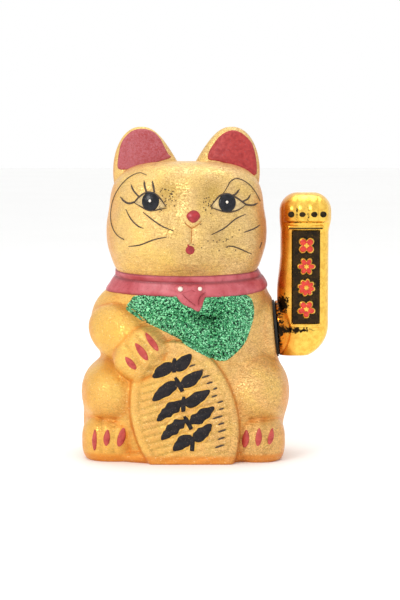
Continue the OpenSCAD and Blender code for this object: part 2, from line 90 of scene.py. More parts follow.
# centre, half sizes, plan exponent, height exponent, turn, blend radius
lumps = [
    ((0.8, 1, 27), (60, 46, 33.5), 2.5, 4, noTurn, 0),                  # hips
    ((1, 0, 3), (59, 49.5, 6), 2.1, 3, noTurn, 2),                      # plinth
    ((3.8, 4, 70), (50.4, 41, 50), 2.3, 3, noTurn, 9),                  # torso
    ((2.7, -1, 137), (46, 38, 37.5), 2.6, 3.6, turnZ(3), 3),            # head
    ((2.7, -2, 133), (47.2, 38.5, 26), 2.5, 2.5, turnZ(3), 4),          # cheeks
    ((5, -31, 124), (21, 11, 12), 2, 2, noTurn, 9),                     # muzzle
    ((-39, -12, 39), (20, 34, 19.5), 2.2, 2.2, turnZ(-6), 4),           # thighs
    ((43.5, -12, 39), (19.5, 34, 20), 2.2, 2.2, turnZ(6), 9),
    ((-40.5, -22, 11), (18.5, 20.5, 17), 2.2, 2.6, noTurn, 1.5),        # feet
    ((45, -24, 11), (16, 21.5, 17), 2.3, 2.6, noTurn, 1.5),
    ((-40, -3, 78), (14.6, 26, 21), 2, 2, noTurn, 5),                   # upper arm
    ((-36, -26.5, 74), (22, 14, 16), 2.2, 2, turnZ(-40) @ turnY(24), 1.5),   # forearm
    ((-23.5, -38, 62.5), (14.5, 11.5, 16), 2.6, 2.6, turnY(38), 1.5),   # paw
    (coin["centre"], coin["halfSize"], 2, 8, coin["turn"], 1.2),
    ((42, 0, pivotZ - 1.2), (18.5, 18.5, 13.2), 2, 10, turnY(90 - axleTilt), 6),  # shoulder
    ((12, 42, 23), (24, 8, 7), 2, 2, turnY(-18), 4),                    # tail
]


def lumpGap(p, lump):
    # radial distance from a lump's surface: |q| (1 - 1/size), negative inside
    centre, half, plan, high, turn, blend = lump
    q = (p - np.array(centre)) @ turn
    a = np.abs(q / np.array(half)) + 1e-9
    size = ((a[..., 0] ** plan + a[..., 1] ** plan) ** (high / plan) + a[..., 2] ** high) ** (1 / high)
    return np.linalg.norm(q, axis=-1) * (1 - 1 / np.maximum(size, 0.05))


def joined(g, h, blend):
    # two gaps as one, the joint rounded by a fillet: min(g, h) - (blend - |g - h|)2 / (4 blend)
    return np.minimum(g, h) - np.maximum(blend - np.abs(g - h), 0) ** 2 / (4 * blend)


def bodyGap(p):
    # the lumps joined one after another, each by its own blend radius
    g = lumpGap(p, lumps[0])
    for lump in lumps[1:]:
        g = joined(g, lumpGap(p, lump), lump[5])
    return g


def softStep(x, a, b):
    # 0 up to a, 1 from b on, and s2 (3 - 2 s) between them
    s = np.clip((x - a) / (b - a), 0, 1)
    return s * s * (3 - 2 * s)


def hill(p, x, z, wide, high):
    # a round hill of height one on the front, exp(-(dx/wide)2 - (dz/high)2)
    return np.exp(-((p[..., 0] - x) / wide) ** 2 - ((p[..., 2] - z) / high) ** 2)


def groove(p, a, b, width):
    # a soft groove of depth one along the straight line from a to b, seen from the front
    a, b = np.array(a, float), np.array(b, float)
    q = p[..., [0, 2]] - a
    d = b - a
    t = np.clip((q @ d) / (d @ d), 0, 1)
    off = q - t[..., None] * d
    return np.exp(-(off ** 2).sum(-1) / width ** 2)


face = {
    "eyes": ((-17.8, 151.9), (26.5, 151.0)),
    "sockets": ((-6.0, 157.0), (19.0, 156.5)),
    "nose": (6.9, 143.1),
    "mouth": (5.1, 124.0),
    "cheeks": ((-3.5, 131.5), (15.5, 131.5)),
    "philtrum": ((6.1, 136.6), (5.9, 128.0)),
}
nose, mouth = face["nose"], face["mouth"]
# place, height, half width and half reach of each hill; below nothing it is a hollow
faceHills = [
    *[(*at, 1.0, 8.5, 5.5) for at in face["eyes"]],
    *[(*at, -1.9, 7.5, 8.5) for at in face["sockets"]],
    *[(*at, 1.9, 8.5, 6.5) for at in face["cheeks"]],
    (nose[0] - 0.4, 154, 1.5, 5.5, 13),              # bridge
    (*nose, 2.2, 5.5, 4.5),
    (mouth[0], mouth[1] - 1, -1.0, 4.5, 4),
    (mouth[0], mouth[1] - 7.5, 1.3, 10, 4),          # chin
]
fingerGrooves = (((-25, 75), (-15.5, 62.5)), ((-32, 69), (-22, 55.5)))
toeGrooves = (-47.2, -39.3, -30.8, 41.0, 48.6)


def onCoinAxes(p):
    # the point in the coin's own axes, and its share of the way out to the coin's edge
    q = (p - np.array(coin["centre"])) @ coin["turn"]
    return q, np.hypot(q[..., 0] / coin["halfSize"][0], q[..., 1] / coin["halfSize"][1])


def relief(p):
    # what the mould adds to the lumps: coin rim and ridges, toes, fingers, sockets, nose, muzzle
    front = softStep(-p[..., 1], 18, 30)
    q, rho = onCoinAxes(p)
    onCoin = softStep(q[..., 2], 3, 6) * softStep(-rho, -1.02, -0.97)
    rim = coin["rim"] * softStep(rho, 0.83, 0.87) * softStep(-rho, -1.0, -0.95)
    bars = coin["ridges"] * np.sin(2 * np.pi * q[..., 1] / coin["ridgePitch"])
    bars = bars * softStep(-rho, -0.84, -0.78)
    r = onCoin * (rim + bars - 0.3)
    for a, b in fingerGrooves:
        r -= 1.1 * front * groove(p, a, b, 1.4)
    for x in toeGrooves:
        r -= 1.0 * front * groove(p, (x, 5), (x, 25), 1.1)
    features = sum(high * hill(p, x, z, wide, reach) for x, z, high, wide, reach in faceHills)
    onFace = front * softStep(p[..., 2], 106, 116)
    return r + onFace * (features - 1.2 * groove(p, *face["philtrum"], 1.3))


seatR = 17.5           # flat seat of the shoulder flange


def skinGap(p):
    # the blended lumps less the relief, cut flat at the shoulder: max(gap, min(x', R - rho))
    tilt = math.radians(axleTilt)
    dx, dz = p[..., 0] - pivotX, p[..., 2] - pivotZ
    out = dx * math.cos(tilt) + dz * math.sin(tilt)
    rho = np.hypot(p[..., 1], dz * math.cos(tilt) - dx * math.sin(tilt))
    return np.maximum(bodyGap(p) - relief(p), np.minimum(out, seatR - rho))


def skinNormal(p, h=0.15):
    # slope of the gap by central differences: unit normal and its size
    steps = np.eye(3) * h
    slope = np.stack([(skinGap(p + s) - skinGap(p - s)) / (2 * h) for s in steps], -1)
    size = np.maximum(np.linalg.norm(slope, axis=-1), 1e-6)
    return slope / size[..., None], size


def ontoSkin(p, rounds=3):
    # slides points along the normal until the gap is nothing: p - n gap / |slope|
    for _ in range(rounds):
        n, size = skinNormal(p)
        p = p - n * (np.clip(skinGap(p) / size, -2, 2))[..., None]
    return p, skinNormal(p)[0]


def spine(z):
    # the line that the rays start from leans towards the head
    return np.stack([2.7 * np.clip((z - 56) / 60, 0, 1), -1 + 0 * z, z], -1)


def castRays(o, d, low=4, high=92, steps=15):
    # distance along each ray to the skin: halving, then one straight-line step
    low, high = np.full(o.shape[:-1], float(low)), np.full(o.shape[:-1], float(high))
    for _ in range(steps):
        mid = (low + high) / 2
        inside = skinGap(o + mid[..., None] * d) < 0
        low, high = np.where(inside, mid, low), np.where(inside, high, mid)
    gl, gh = skinGap(o + low[..., None] * d), skinGap(o + high[..., None] * d)
    return low + (high - low) * np.clip(-gl / np.maximum(gh - gl, 1e-9), 0, 1)


def frontSkin(x, z):
    # y of the skin seen from the front: the first of 40 steps inside, then halving
    x, z = np.broadcast_arrays(np.asarray(x, float), np.asarray(z, float))
    ys = np.linspace(-58, -2, 40)
    low, high = np.full(x.shape, ys[0]), np.full(x.shape, ys[-1])
    found = np.zeros(x.shape, bool)
    for a, b in zip(ys[:-1], ys[1:]):
        hit = ~found & (skinGap(np.stack([x, np.full(x.shape, b), z], -1)) < 0)
        low, high, found = np.where(hit, a, low), np.where(hit, b, high), found | hit
    for _ in range(12):
        mid = (low + high) / 2
        inside = skinGap(np.stack([x, mid, z], -1)) < 0
        low, high = np.where(inside, low, mid), np.where(inside, mid, high)
    return (low + high) / 2


def frontPoints(x, z):
    # points and normals of the skin seen from the front
    return ontoSkin(np.stack([x, frontSkin(x, z), z], -1))


# Meshes

def fullTurn(count):
    # angles spaced evenly round a full turn, the last not repeated
    return np.linspace(0, 2 * np.pi, count, endpoint=False)


def gridFaces(nu, nv, closeU=False, closeV=False):
    # quads over a grid of nu by nv points, joined round where a direction closes
    countU, countV = nu if closeU else nu - 1, nv if closeV else nv - 1
    i, j = np.meshgrid(np.arange(countU), np.arange(countV), indexing="ij")
    i2, j2 = (i + 1) % nu, (j + 1) % nv
    return np.stack([i * nv + j, i * nv + j2, i2 * nv + j2, i2 * nv + j], -1).reshape(-1, 4)


def tubeParts(rings):
    # closed skin through rings of points (n, sides, 3), with a fan of triangles at each end
    n, sides = rings.shape[:2]
    k = np.arange(sides)
    k2 = (k + 1) % sides
    first, last = n * sides, n * sides + 1
    points = np.concatenate([rings.reshape(-1, 3), rings[0].mean(0)[None], rings[-1].mean(0)[None]])
    faces = gridFaces(n, sides, closeV=True).tolist()
    faces += np.stack([np.full(sides, first), k2, k], -1).tolist()
    faces += np.stack([np.full(sides, last), (n - 1) * sides + k, (n - 1) * sides + k2], -1).tolist()
    return points, faces


def addPiece(name, parts, body, slot, material, smooth=True, replaces=()):
    # joins (points, faces) parts, in millimetres about the seat, into one outward-facing piece
    points = np.concatenate([p for p, f in parts])
    starts = np.cumsum([0] + [len(p) for p, f in parts[:-1]])
    faces = [[i + s for i in face] for (p, f), s in zip(parts, starts.tolist()) for face in f]
    mesh = bpy.data.meshes.new(name)
    mesh.from_pydata(((points + (figureX, 0, 0)) * mm).tolist(), [], faces)
    shell = bmesh.new()
    shell.from_mesh(mesh)
    bmesh.ops.recalc_face_normals(shell, faces=shell.faces)
    shell.to_mesh(mesh)
    shell.free()
    mesh.shade_smooth() if smooth else mesh.shade_flat()
    mesh.materials.append(material)
    piece = bpy.data.objects.new(name, mesh)
    bpy.context.scene.collection.objects.link(piece)
    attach(piece, body)
    if replaces:
        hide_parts(*replaces)
    return piece


def onCasting(name, parts, paint, **more):
    # a piece of the still casting, or paint on it
    return addPiece(name, parts, "root", "gold_ceramic", paint, **more)


def onArm(name, parts, slot, paint, **more):
    # a piece that swings with the arm
    return addPiece(name, parts, "arm", slot, paint, **more)


def vertexData(piece, what):
    # a vector of every vertex, such as its place or its normal, as one array
    flat = np.empty(len(piece.data.vertices) * 3)
    piece.data.vertices.foreach_get(what, flat)
    return flat.reshape(-1, 3)


def storeTone(piece, name, values):
    # a number from 0 to 1 on every vertex, which the paint reads by name
    tone = piece.data.attributes.new(name, "FLOAT", "POINT")
    tone.data.foreach_set("value", values.clip(0, 1).astype(np.float32))


def curveThrough(points, spans=8, closed=False):
    # Catmull-Rom: (2b + (c - a)t + (2a - 5b + 4c - d)t2 + (3b - a - 3c + d)t3) / 2
    p = np.array(points, float)
    if closed:
        a, b, c, d = np.roll(p, 1, 0), p, np.roll(p, -1, 0), np.roll(p, -2, 0)
    else:
        a, b, c, d = np.concatenate([p[:1], p[:-2]]), p[:-1], p[1:], np.concatenate([p[2:], p[-1:]])
    t = np.linspace(0, 1, spans, endpoint=False)[None, :, None]
    a, b, c, d = (v[:, None] for v in (a, b, c, d))
    q = (2 * b + (c - a) * t + (2 * a - 5 * b + 4 * c - d) * t ** 2 + (3 * b - a - 3 * c + d) * t ** 3) / 2
    q = q.reshape(-1, p.shape[1])
    return q if closed else np.concatenate([q, p[-1:]])


def stroke(points, width, lift=0.3, taper=(0.35, 0.35), spans=8, sink=0.35, across=7, leaf=0.0):
    # a brush line on the skin: a lens section, height lift (0.4 + 0.6 sqrt(1 - u2)), carried along
    # the path and narrowing to a share of its width at each end; a leaf swells as sin(pi s^leaf)
    path = curveThrough(points, spans)
    p, n = frontPoints(path[:, 0], path[:, 1])
    along = np.gradient(p, axis=0)
    side = np.cross(n, along)
    side /= np.maximum(np.linalg.norm(side, axis=-1), 1e-9)[:, None]
    s = np.linspace(0, 1, len(p))
    w = width / 2 * (taper[0] + (1 - taper[0]) * softStep(s, 0, 0.3))
    w = w * (taper[1] + (1 - taper[1]) * softStep(1 - s, 0, 0.3))
    if leaf:
        w = width / 2 * (0.06 + 0.94 * np.sin(np.pi * s ** leaf).clip(0, 1) ** 0.75)
    u = np.linspace(-1, 1, across)
    q, m = ontoSkin(p[:, None] + side[:, None] * (w[:, None] * u)[..., None])
    top = q + m * (lift * (0.4 + 0.6 * np.sqrt(1 - u ** 2)))[None, :, None]
    return tubeParts(np.concatenate([top, (q - m * sink)[:, ::-1]], 1))


def coat(outline, centre, lift=0.4, rings=16, spans=8, sink=0.4, dome=0.5, points=None):
    # a patch of paint: the closed outline drawn in towards its centre in steps and laid on the
    # skin, with height lift (1 - dome + dome sqrt(1 - r2)) and a rounded edge
    rim = curveThrough(outline, spans, closed=True)
    r = np.linspace(0.03, 1, rings)
    flat = np.array(centre) + r[:, None, None] * (rim - np.array(centre))
    p, n = (points or frontPoints)(flat[..., 0], flat[..., 1])
    height = lift * (1 - dome + dome * np.sqrt(1 - r ** 2)) * np.sqrt(1 - 0.8 * r ** 12)
    return tubeParts(np.concatenate([p + n * height[:, None, None], (p - n * sink)[::-1]]))


def ellipse(x, z, wide, high, count=12):
    # (x + wide cos a, z + high sin a)
    a = fullTurn(count)
    return np.stack([x + wide * np.cos(a), z + high * np.sin(a)], -1)


def ball(centre, radius, sides=24):
    # a sphere as rings of circles, poles closed by the fans
    a = fullTurn(sides)
    v = np.linspace(0.08, np.pi - 0.08, sides // 2)[:, None]
    ring = np.stack([np.sin(v) * np.cos(a), np.sin(v) * np.sin(a), np.cos(v) + 0 * a], -1)
    return tubeParts(np.array(centre) + radius * ring)


print("form ready")

# Materials

def srgb(r, g, b):
    # 0-255 screen values to linear: ((c + 0.055) / 1.055) ^ 2.4
    return tuple(((c / 255 + 0.055) / 1.055) ** 2.4 for c in (r, g, b)) + (1,)


def newMaterial(name):
    # an empty node material, its shader, and the Object coordinates it reads
    material = bpy.data.materials.new(name)
    material.use_nodes = True
    tree = material.node_tree
    shader = tree.nodes["Principled BSDF"]
    where = tree.nodes.new("ShaderNodeTexCoord").outputs["Object"]
    return material, tree, shader, where


def noise(tree, where, scale, detail, distortion=0.0):
    # fractal noise, mostly between 0.3 and 0.7
    n = tree.nodes.new("ShaderNodeTexNoise")
    n.inputs["Scale"].default_value = scale
    n.inputs["Detail"].default_value = detail
    n.inputs["Distortion"].default_value = distortion
    tree.links.new(where, n.inputs["Vector"])
    return n.outputs["Fac"]


def remap(tree, value, low, high, toLow=0.0, toHigh=1.0):
    # a straight line from (low, toLow) to (high, toHigh), held level past both ends
    n = tree.nodes.new("ShaderNodeMapRange")
    for key, v in (("From Min", low), ("From Max", high), ("To Min", toLow), ("To Max", toHigh)):
        n.inputs[key].default_value = v
    tree.links.new(value, n.inputs["Value"])
    return n.outputs["Result"]


def calc(tree, kind, a, b):
    # one sum of two sockets or numbers
    n = tree.nodes.new("ShaderNodeMath")
    n.operation = kind
    for socket, v in zip(n.inputs, (a, b)):
        if isinstance(v, (int, float)):
            socket.default_value = v
        else:
            tree.links.new(v, socket)
    return n.outputs[0]


def mixColours(tree, share, a, b):
    # (1 - share) a + share b
    n = tree.nodes.new("ShaderNodeMix")
    n.data_type = "RGBA"
    for socket, v in ((n.inputs[0], share), (n.inputs[6], a), (n.inputs[7], b)):
        if isinstance(v, (int, float, tuple)):
            socket.default_value = v
        else:
            tree.links.new(v, socket)
    return n.outputs[2]


def wash(tree, colour, share, over, strength=1.0):
    # a second paint over the first, as thick as share times strength
    if strength != 1.0:
        share = calc(tree, "MULTIPLY", share, strength)
    return mixColours(tree, share, colour, srgb(*over))


def gloss(tree, shader, value, low, high):
    # roughness from low to high, following a noise
    tree.links.new(remap(tree, value, 0.3, 0.7, low, high), shader.inputs["Roughness"])


def painted(tree, name):
    # the tone of that name stored on the vertices, 0 where a piece has none
    n = tree.nodes.new("ShaderNodeAttribute")
    n.attribute_name = name
    return n.outputs["Fac"]


def alongAxis(tree, where, axis):
    # one coordinate of a vector
    n = tree.nodes.new("ShaderNodeSeparateXYZ")
    tree.links.new(where, n.inputs[0])
    return n.outputs[axis]


def rough(tree, shader, height, strength, distance):
    # bump of a given height in metres
    n = tree.nodes.new("ShaderNodeBump")
    n.inputs["Strength"].default_value = strength
    n.inputs["Distance"].default_value = distance
    tree.links.new(height, n.inputs["Height"])
    tree.links.new(n.outputs["Normal"], shader.inputs["Normal"])


def wrinkles(tree, where, scale, width):
    # thin wandering lines: 1 where a noise is near its middle value
    off = calc(tree, "SUBTRACT", noise(tree, where, scale, 4, 1.2), 0.5)
    off = calc(tree, "ABSOLUTE", off, 0.0)
    return remap(tree, off, 0.0, width, 1.0, 0.0)


def stretched(tree, where, x, y, z):
    # coordinates multiplied by x, y and z, so that a pattern is drawn out along an axis
    n = tree.nodes.new("ShaderNodeMapping")
    n.inputs["Scale"].default_value = (x, y, z)
    tree.links.new(where, n.inputs["Vector"])
    return n.outputs[0]


gold = {
    # left is the gold in painted light, right the same gold in painted shade
    "left": (238, 182, 78), "right": (236, 192, 124),
    "low": (230, 168, 82), "high": (230, 202, 140),
    # patch: a painted highlight colour
    "patch": (244, 206, 104), "fleck": (255, 238, 176),
    # next: the wrinkles' brown, laid thicker where painted shade falls, then painted olive shade and painted
    # orange shade
    "dirtAndShade": (132, 90, 40), "hollow": (166, 132, 48), "creaseShade": (220, 122, 16),
    "litToShadedX": (-0.062, 0.012),    # where the painted light on the left turns into the painted shade on the right, in metres
    "lowZ": (0.10, 0.03),          # where the seat's warmer gold sets in
    "highZ": (0.105, 0.125),       # where the head's paler gold sets in
}


def goldPaint():
    # brushed gold over ceramic: yellow on the left and tan on the right as painted light and shade, painted orange
    # shade in the creases, painted olive shade in the hollows, bright patches as painted highlights, and fine
    # brown wrinkles and level brush marks everywhere, thicker where the painted shade falls
    material, tree, shader, where = newMaterial("goldPaint")
    across = calc(tree, "ADD", alongAxis(tree, where, "X"),
                  remap(tree, noise(tree, where, 26, 2), 0.3, 0.7, -0.025, 0.025))
    side = remap(tree, across, *gold["litToShadedX"])
    low = remap(tree, alongAxis(tree, where, "Z"), *gold["lowZ"])
    high = remap(tree, alongAxis(tree, where, "Z"), *gold["highZ"])
    # bright patches scattered by a noise: painted highlights
    patch = remap(tree, noise(tree, where, 90, 5), 0.42, 0.68)
    # yellow on the left, tan on the right: painted light and painted shade across the figure
    colour = mixColours(tree, side, srgb(*gold["left"]), srgb(*gold["right"]))
    colour = wash(tree, colour, low, gold["low"], 0.45)
    colour = wash(tree, colour, high, gold["high"], 0.45)
    colour = wash(tree, colour, patch, gold["patch"], 0.45)
    brush = remap(tree, noise(tree, stretched(tree, where, 240, 240, 950), 1.0, 4, 0.8), 0.47, 0.62)
    lines = wrinkles(tree, stretched(tree, where, 1, 1, 1.5), 430, 0.05)
    grain = remap(tree, noise(tree, where, 1500, 2), 0.52, 0.66)
    # the wrinkles and brush marks are laid on thicker on the shaded right and in the painted shade of the hollows
    shadeWeight = remap(tree, calc(tree, "ADD", side, painted(tree, "hollow")), 0.0, 1.3, 0.3, 0.8)
    dirtAndShade = calc(tree, "MAXIMUM", calc(tree, "MULTIPLY", brush, 0.35), calc(tree, "MULTIPLY", grain, 0.55))
    dirtAndShade = calc(tree, "MULTIPLY", calc(tree, "MAXIMUM", dirtAndShade, lines), shadeWeight)
    colour = wash(tree, colour, dirtAndShade, gold["dirtAndShade"])
    # painted olive shade in the sockets, round the muzzle and in the grooves
    colour = wash(tree, colour, painted(tree, "hollow"), gold["hollow"], 0.5)
    # painted orange shade in the creases, along the foot and on faces turned to either side
    creaseShadeDepth = calc(tree, "MULTIPLY", painted(tree, "creaseShade"),
                remap(tree, noise(tree, where, 70, 3), 0.3, 0.7, 0.7, 1.0))
    colour = wash(tree, colour, creaseShadeDepth, gold["creaseShade"], 0.95)
    fleck = remap(tree, noise(tree, where, 1100, 1), 0.66, 0.74)
    colour = wash(tree, colour, fleck, gold["fleck"], 0.45)
    tree.links.new(colour, shader.inputs["Base Color"])
    shader.inputs["Metallic"].default_value = 0.55
    gloss(tree, shader, noise(tree, where, 220, 4), 0.28, 0.5)
    height = calc(tree, "ADD", calc(tree, "MULTIPLY", lines, -0.6), calc(tree, "MULTIPLY", brush, -0.5))
    rough(tree, shader, calc(tree, "ADD", height, noise(tree, where, 700, 3)), 0.4, 0.0005)
    return material


def coatPaint(name, light, dark, scale, roughness, speck=None, depth=0.0003, shine=0.5):
    # hand-laid paint: two tones clouded together, small dark pin-holes, an uneven surface
    material, tree, shader, where = newMaterial(name)
    cloud = remap(tree, noise(tree, where, scale, 5, 0.6), 0.35, 0.65)
    colour = mixColours(tree, cloud, srgb(*light), srgb(*dark))
    holes = remap(tree, noise(tree, where, 1500, 1), 0.66, 0.74, 0.0, 0.7)
    colour = wash(tree, colour, holes, speck or [c * 0.45 for c in dark])
    # painted shade along a collar's fold and edges, read from its fold tone
    colour = wash(tree, colour, painted(tree, "fold"), [c * 0.62 for c in dark], 0.7)
    tree.links.new(colour, shader.inputs["Base Color"])
    shader.inputs["Specular IOR Level"].default_value = shine
    tree.links.new(remap(tree, cloud, 0.0, 1.0, *roughness), shader.inputs["Roughness"])
    rough(tree, shader, noise(tree, where, 800, 4), 0.35, depth)
    return material


def glitter():
    # foil flakes in lacquer: each small cell has its own green and its own gloss
    material, tree, shader, where = newMaterial("glitterGreen")
    flakes = tree.nodes.new("ShaderNodeTexVoronoi")
    flakes.inputs["Scale"].default_value = 1500
    tree.links.new(where, flakes.inputs["Vector"])
    pick = alongAxis(tree, flakes.outputs["Color"], "X")
    foil = alongAxis(tree, flakes.outputs["Color"], "Y")
    colour = mixColours(tree, remap(tree, pick, 0.2, 0.34), srgb(8, 50, 32), srgb(70, 158, 106))
    colour = wash(tree, colour, remap(tree, pick, 0.66, 0.8), (156, 232, 180))
    tree.links.new(colour, shader.inputs["Base Color"])
    tree.links.new(remap(tree, foil, 0.0, 1.0, 0.0, 0.7), shader.inputs["Metallic"])
    tree.links.new(remap(tree, pick, 0.0, 1.0, 0.5, 0.22), shader.inputs["Roughness"])
    rough(tree, shader, flakes.outputs["Distance"], 0.5, 0.0004)
    return material


mirror = {
    # the orange is a painted reflection of the body; the near-black paints dark reflections and shade
    "bright": (250, 205, 92), "bodyReflection": (214, 122, 30), "mottle": (206, 146, 44), "reflectionAndShade": (30, 18, 4),
    "bodyReflectionX": (0.056, 0.046),       # the side towards the body turns orange here, a painted reflection of the body, in metres
}


def mirrorGold():
    # vacuum-metallised plastic: bright yellow gold, orange towards the body as a painted reflection of it, dark
    # patches of painted reflection and painted shade
    material, tree, shader, where = newMaterial("mirrorGold")
    across = calc(tree, "ADD", alongAxis(tree, where, "X"),
                  remap(tree, noise(tree, where, 60, 3), 0.3, 0.7, -0.003, 0.003))
    # an orange painted reflection of the body on the side towards it
    bodyReflection = remap(tree, across, *mirror["bodyReflectionX"])
    mottle = remap(tree, noise(tree, where, 420, 5, 0.5), 0.42, 0.62)
    # dark painted reflections and painted shade, stored on the vertices and clouded by a noise
    reflectionAndShade = calc(tree, "ADD", painted(tree, "reflectionAndShade"),
                 remap(tree, noise(tree, where, 700, 4), 0.3, 0.7, -0.4, 0.4))
    colour = mixColours(tree, bodyReflection, srgb(*mirror["bright"]), srgb(*mirror["bodyReflection"]))
    colour = wash(tree, colour, mottle, mirror["mottle"], 0.45)
    colour = wash(tree, colour, remap(tree, reflectionAndShade, 0.35, 0.62), mirror["reflectionAndShade"])
    tree.links.new(colour, shader.inputs["Base Color"])
    shader.inputs["Metallic"].default_value = 0.9
    gloss(tree, shader, noise(tree, where, 160, 4), 0.2, 0.38)
    rough(tree, shader, noise(tree, where, 900, 3), 0.3, 0.0003)
    return material


def turnedMetal(name, light, dark, roughness=(0.22, 0.42), axis="X", pitch=2200.0):
    # machined metal: fine turning lines along one axis and a faint tarnish
    material, tree, shader, where = newMaterial(name)
    lines = noise(tree, stretched(tree, where, *(pitch if a == axis else 40.0 for a in "XYZ")), 1.0, 2)
    tarnish = remap(tree, noise(tree, where, 180, 4), 0.4, 0.7)
    tree.links.new(mixColours(tree, tarnish, srgb(*light), srgb(*dark)), shader.inputs["Base Color"])
    shader.inputs["Metallic"].default_value = 1.0
    gloss(tree, shader, lines, *roughness)
    rough(tree, shader, lines, 0.2, 0.0001)
    return material


def mouldedPlastic(name, light, dark, roughness=(0.4, 0.6), grain=1800.0, depth=0.00012, edge=0.3):
    # injection-moulded plastic: fine grain, faint flow marks, dust that lightens it in patches
    material, tree, shader, where = newMaterial(name)
    flow = remap(tree, noise(tree, where, 55, 4, 0.8), 0.3, 0.7)
    colour = mixColours(tree, flow, srgb(*light), srgb(*dark))
    dust = remap(tree, noise(tree, where, 600, 5), 0.55, 0.8, 0.0, edge)
    colour = wash(tree, colour, dust, [min(255, c + 60) for c in light])
    tree.links.new(colour, shader.inputs["Base Color"])
    gloss(tree, shader, noise(tree, where, 300, 3), *roughness)
    shader.inputs["Specular IOR Level"].default_value = 0.3
    rough(tree, shader, noise(tree, where, grain, 2), 0.3, depth)
    return material


# light tone, dark tone, size of the clouds, roughness, colour of the pin-holes, bump, shine
coatLooks = {
    "ribbonPink": ((198, 98, 106), (172, 62, 70), 120, (0.35, 0.55)),
    # the darker ribbon red is painted shade, for the bow's creases
    "ribbonShade": ((150, 44, 54), (124, 30, 40), 200, (0.4, 0.6)),
    "earRed": ((178, 52, 48), (150, 32, 34), 420, (0.45, 0.65), (140, 84, 96)),
    "earRose": ((160, 52, 54), (176, 92, 100), 900, (0.45, 0.65), (92, 26, 32)),
    "lipRed": ((176, 40, 48), (136, 22, 30), 300, (0.3, 0.5)),
    "lipOrange": ((196, 132, 52), (166, 102, 36), 600, (0.35, 0.6)),
    "nailRed": ((196, 78, 66), (166, 46, 44), 260, (0.35, 0.55)),
    "lineBrown": ((58, 48, 42), (84, 68, 54), 700, (0.35, 0.6), (140, 110, 80), 0.0003, 0.25),
    "inkBlack": ((20, 18, 22), (38, 33, 36), 420, (0.35, 0.6), (104, 84, 58), 0.0005, 0.2),
    "irisBlack": ((9, 10, 15), (30, 31, 38), 500, (0.2, 0.35), None, 0.0003, 0.3),
    "beadWhite": ((248, 240, 228), (228, 214, 196), 500, (0.2, 0.35), (190, 170, 150)),
    "eyeCream": ((216, 188, 130), (180, 150, 100), 520, (0.35, 0.5), (110, 84, 56)),
    "haloGold": ((236, 188, 84), (210, 152, 54), 420, (0.3, 0.5), (130, 86, 34)),
    "plaqueBlack": ((50, 34, 6), (22, 15, 3), 240, (0.4, 0.6), (110, 84, 20), 0.0003, 0.15),
    "plaqueRed": ((224, 62, 36), (190, 36, 26), 420, (0.18, 0.35)),
}
coats = {name: coatPaint(name, *look) for name, look in coatLooks.items()}
goldCat = goldPaint()
goldMirror = mirrorGold()
slotMaterials = {
    "black_plastic": mouldedPlastic("mouldedBlack", (30, 27, 25), (18, 17, 17), (0.5, 0.7), edge=0.12),
    "white_plastic": mouldedPlastic("mouldedIvory", (226, 222, 208), (206, 198, 178), (0.3, 0.5)),
    "steel": turnedMetal("turnedSteel", (186, 188, 192), (140, 142, 148)),
    "brass": turnedMetal("sinteredBrass", (206, 160, 84), (150, 104, 48), (0.35, 0.6)),
    "magnet": mouldedPlastic("ferriteGrey", (66, 66, 70), (44, 44, 48), (0.3, 0.5), 1400.0),
    "copper": turnedMetal("enamelledCopper", (196, 104, 54), (140, 66, 30), (0.2, 0.4), "Z", 2600.0),
    "nickel": turnedMetal("nickelPlate", (206, 206, 200), (160, 158, 150), (0.15, 0.35)),
    "cell_jacket": mouldedPlastic("cellSleeve", (34, 96, 58), (22, 70, 42), (0.15, 0.3), 500.0),
    "board_green": mouldedPlastic("solderMask", (24, 92, 48), (14, 64, 34), (0.25, 0.4), 900.0),
    "red_wire": mouldedPlastic("wireRed", (186, 34, 28), (150, 24, 22), (0.3, 0.45)),
    "black_wire": mouldedPlastic("wireBlack", (30, 30, 32), (18, 18, 20), (0.3, 0.45)),
    "gold_ceramic": goldCat,
    "gold_plastic": goldMirror,
    "panel_black": coats["plaqueBlack"],
}
slotOf = {part["node"]: part["material_slot"] for part in frame["record"]["subparts"]}
for nodeName, node in frame["nodes"].items():
    node.data.materials.clear()
    node.data.materials.append(slotMaterials[slotOf[nodeName]])
print("materials ready")

# Casting

casting = {
    "crownZ": 136.0,                 # the rays fan out above this height
    "headLow": 100.0, "bodyTop": 112.0,    # the head and the body overlap inside the collar
    "footBevel": 0.7,
    "openingDeep": 9.0,              # how far up the wall of the opening is drawn
    "sides": 400,
}


def bodyRings(zLow, zHigh, levels, fan=0, openFoot=False):
    # skin between two heights: level rays from the spine, then a fan up to the crown; an open
    # foot turns in under the casting and up the wall of the round opening
    sides, footBevel = casting["sides"], casting["footBevel"]
    u = np.arange(sides) / sides
    a = 2 * np.pi * (u + 0.09 * np.sin(2 * np.pi * (u + 0.25)))     # closer together at the front
    z = np.linspace(zLow, zHigh, levels)
    lift = np.zeros(levels)
    if fan:
        lift = np.concatenate([lift, np.linspace(0, np.pi / 2, fan + 1)[1:-1]])
        z = np.concatenate([z, np.full(fan - 1, zHigh)])
    lift, a = np.meshgrid(lift, a, indexing="ij")
    d = np.stack([np.cos(a) * np.cos(lift), np.sin(a) * np.cos(lift), np.sin(lift)], -1)
    o = spine(np.repeat(z[:, None], sides, 1))
    rings = o + castRays(o, d)[..., None] * d
    if openFoot:
        low = rings[0]
        inset = low + ((0, -1, 0) - low) * 0.015
        circle = np.stack([np.cos(a[0]), np.sin(a[0]), 0 * a[0]], -1)
        rings[0, :, 2] = footBevel
        foot = [circle * openingR + (0, 0, casting["openingDeep"]), circle * openingR + (0, 0, footBevel),
                circle * (openingR + footBevel), inset * (1, 1, 0)]
        rings = np.concatenate([np.array(foot), rings])
    return rings


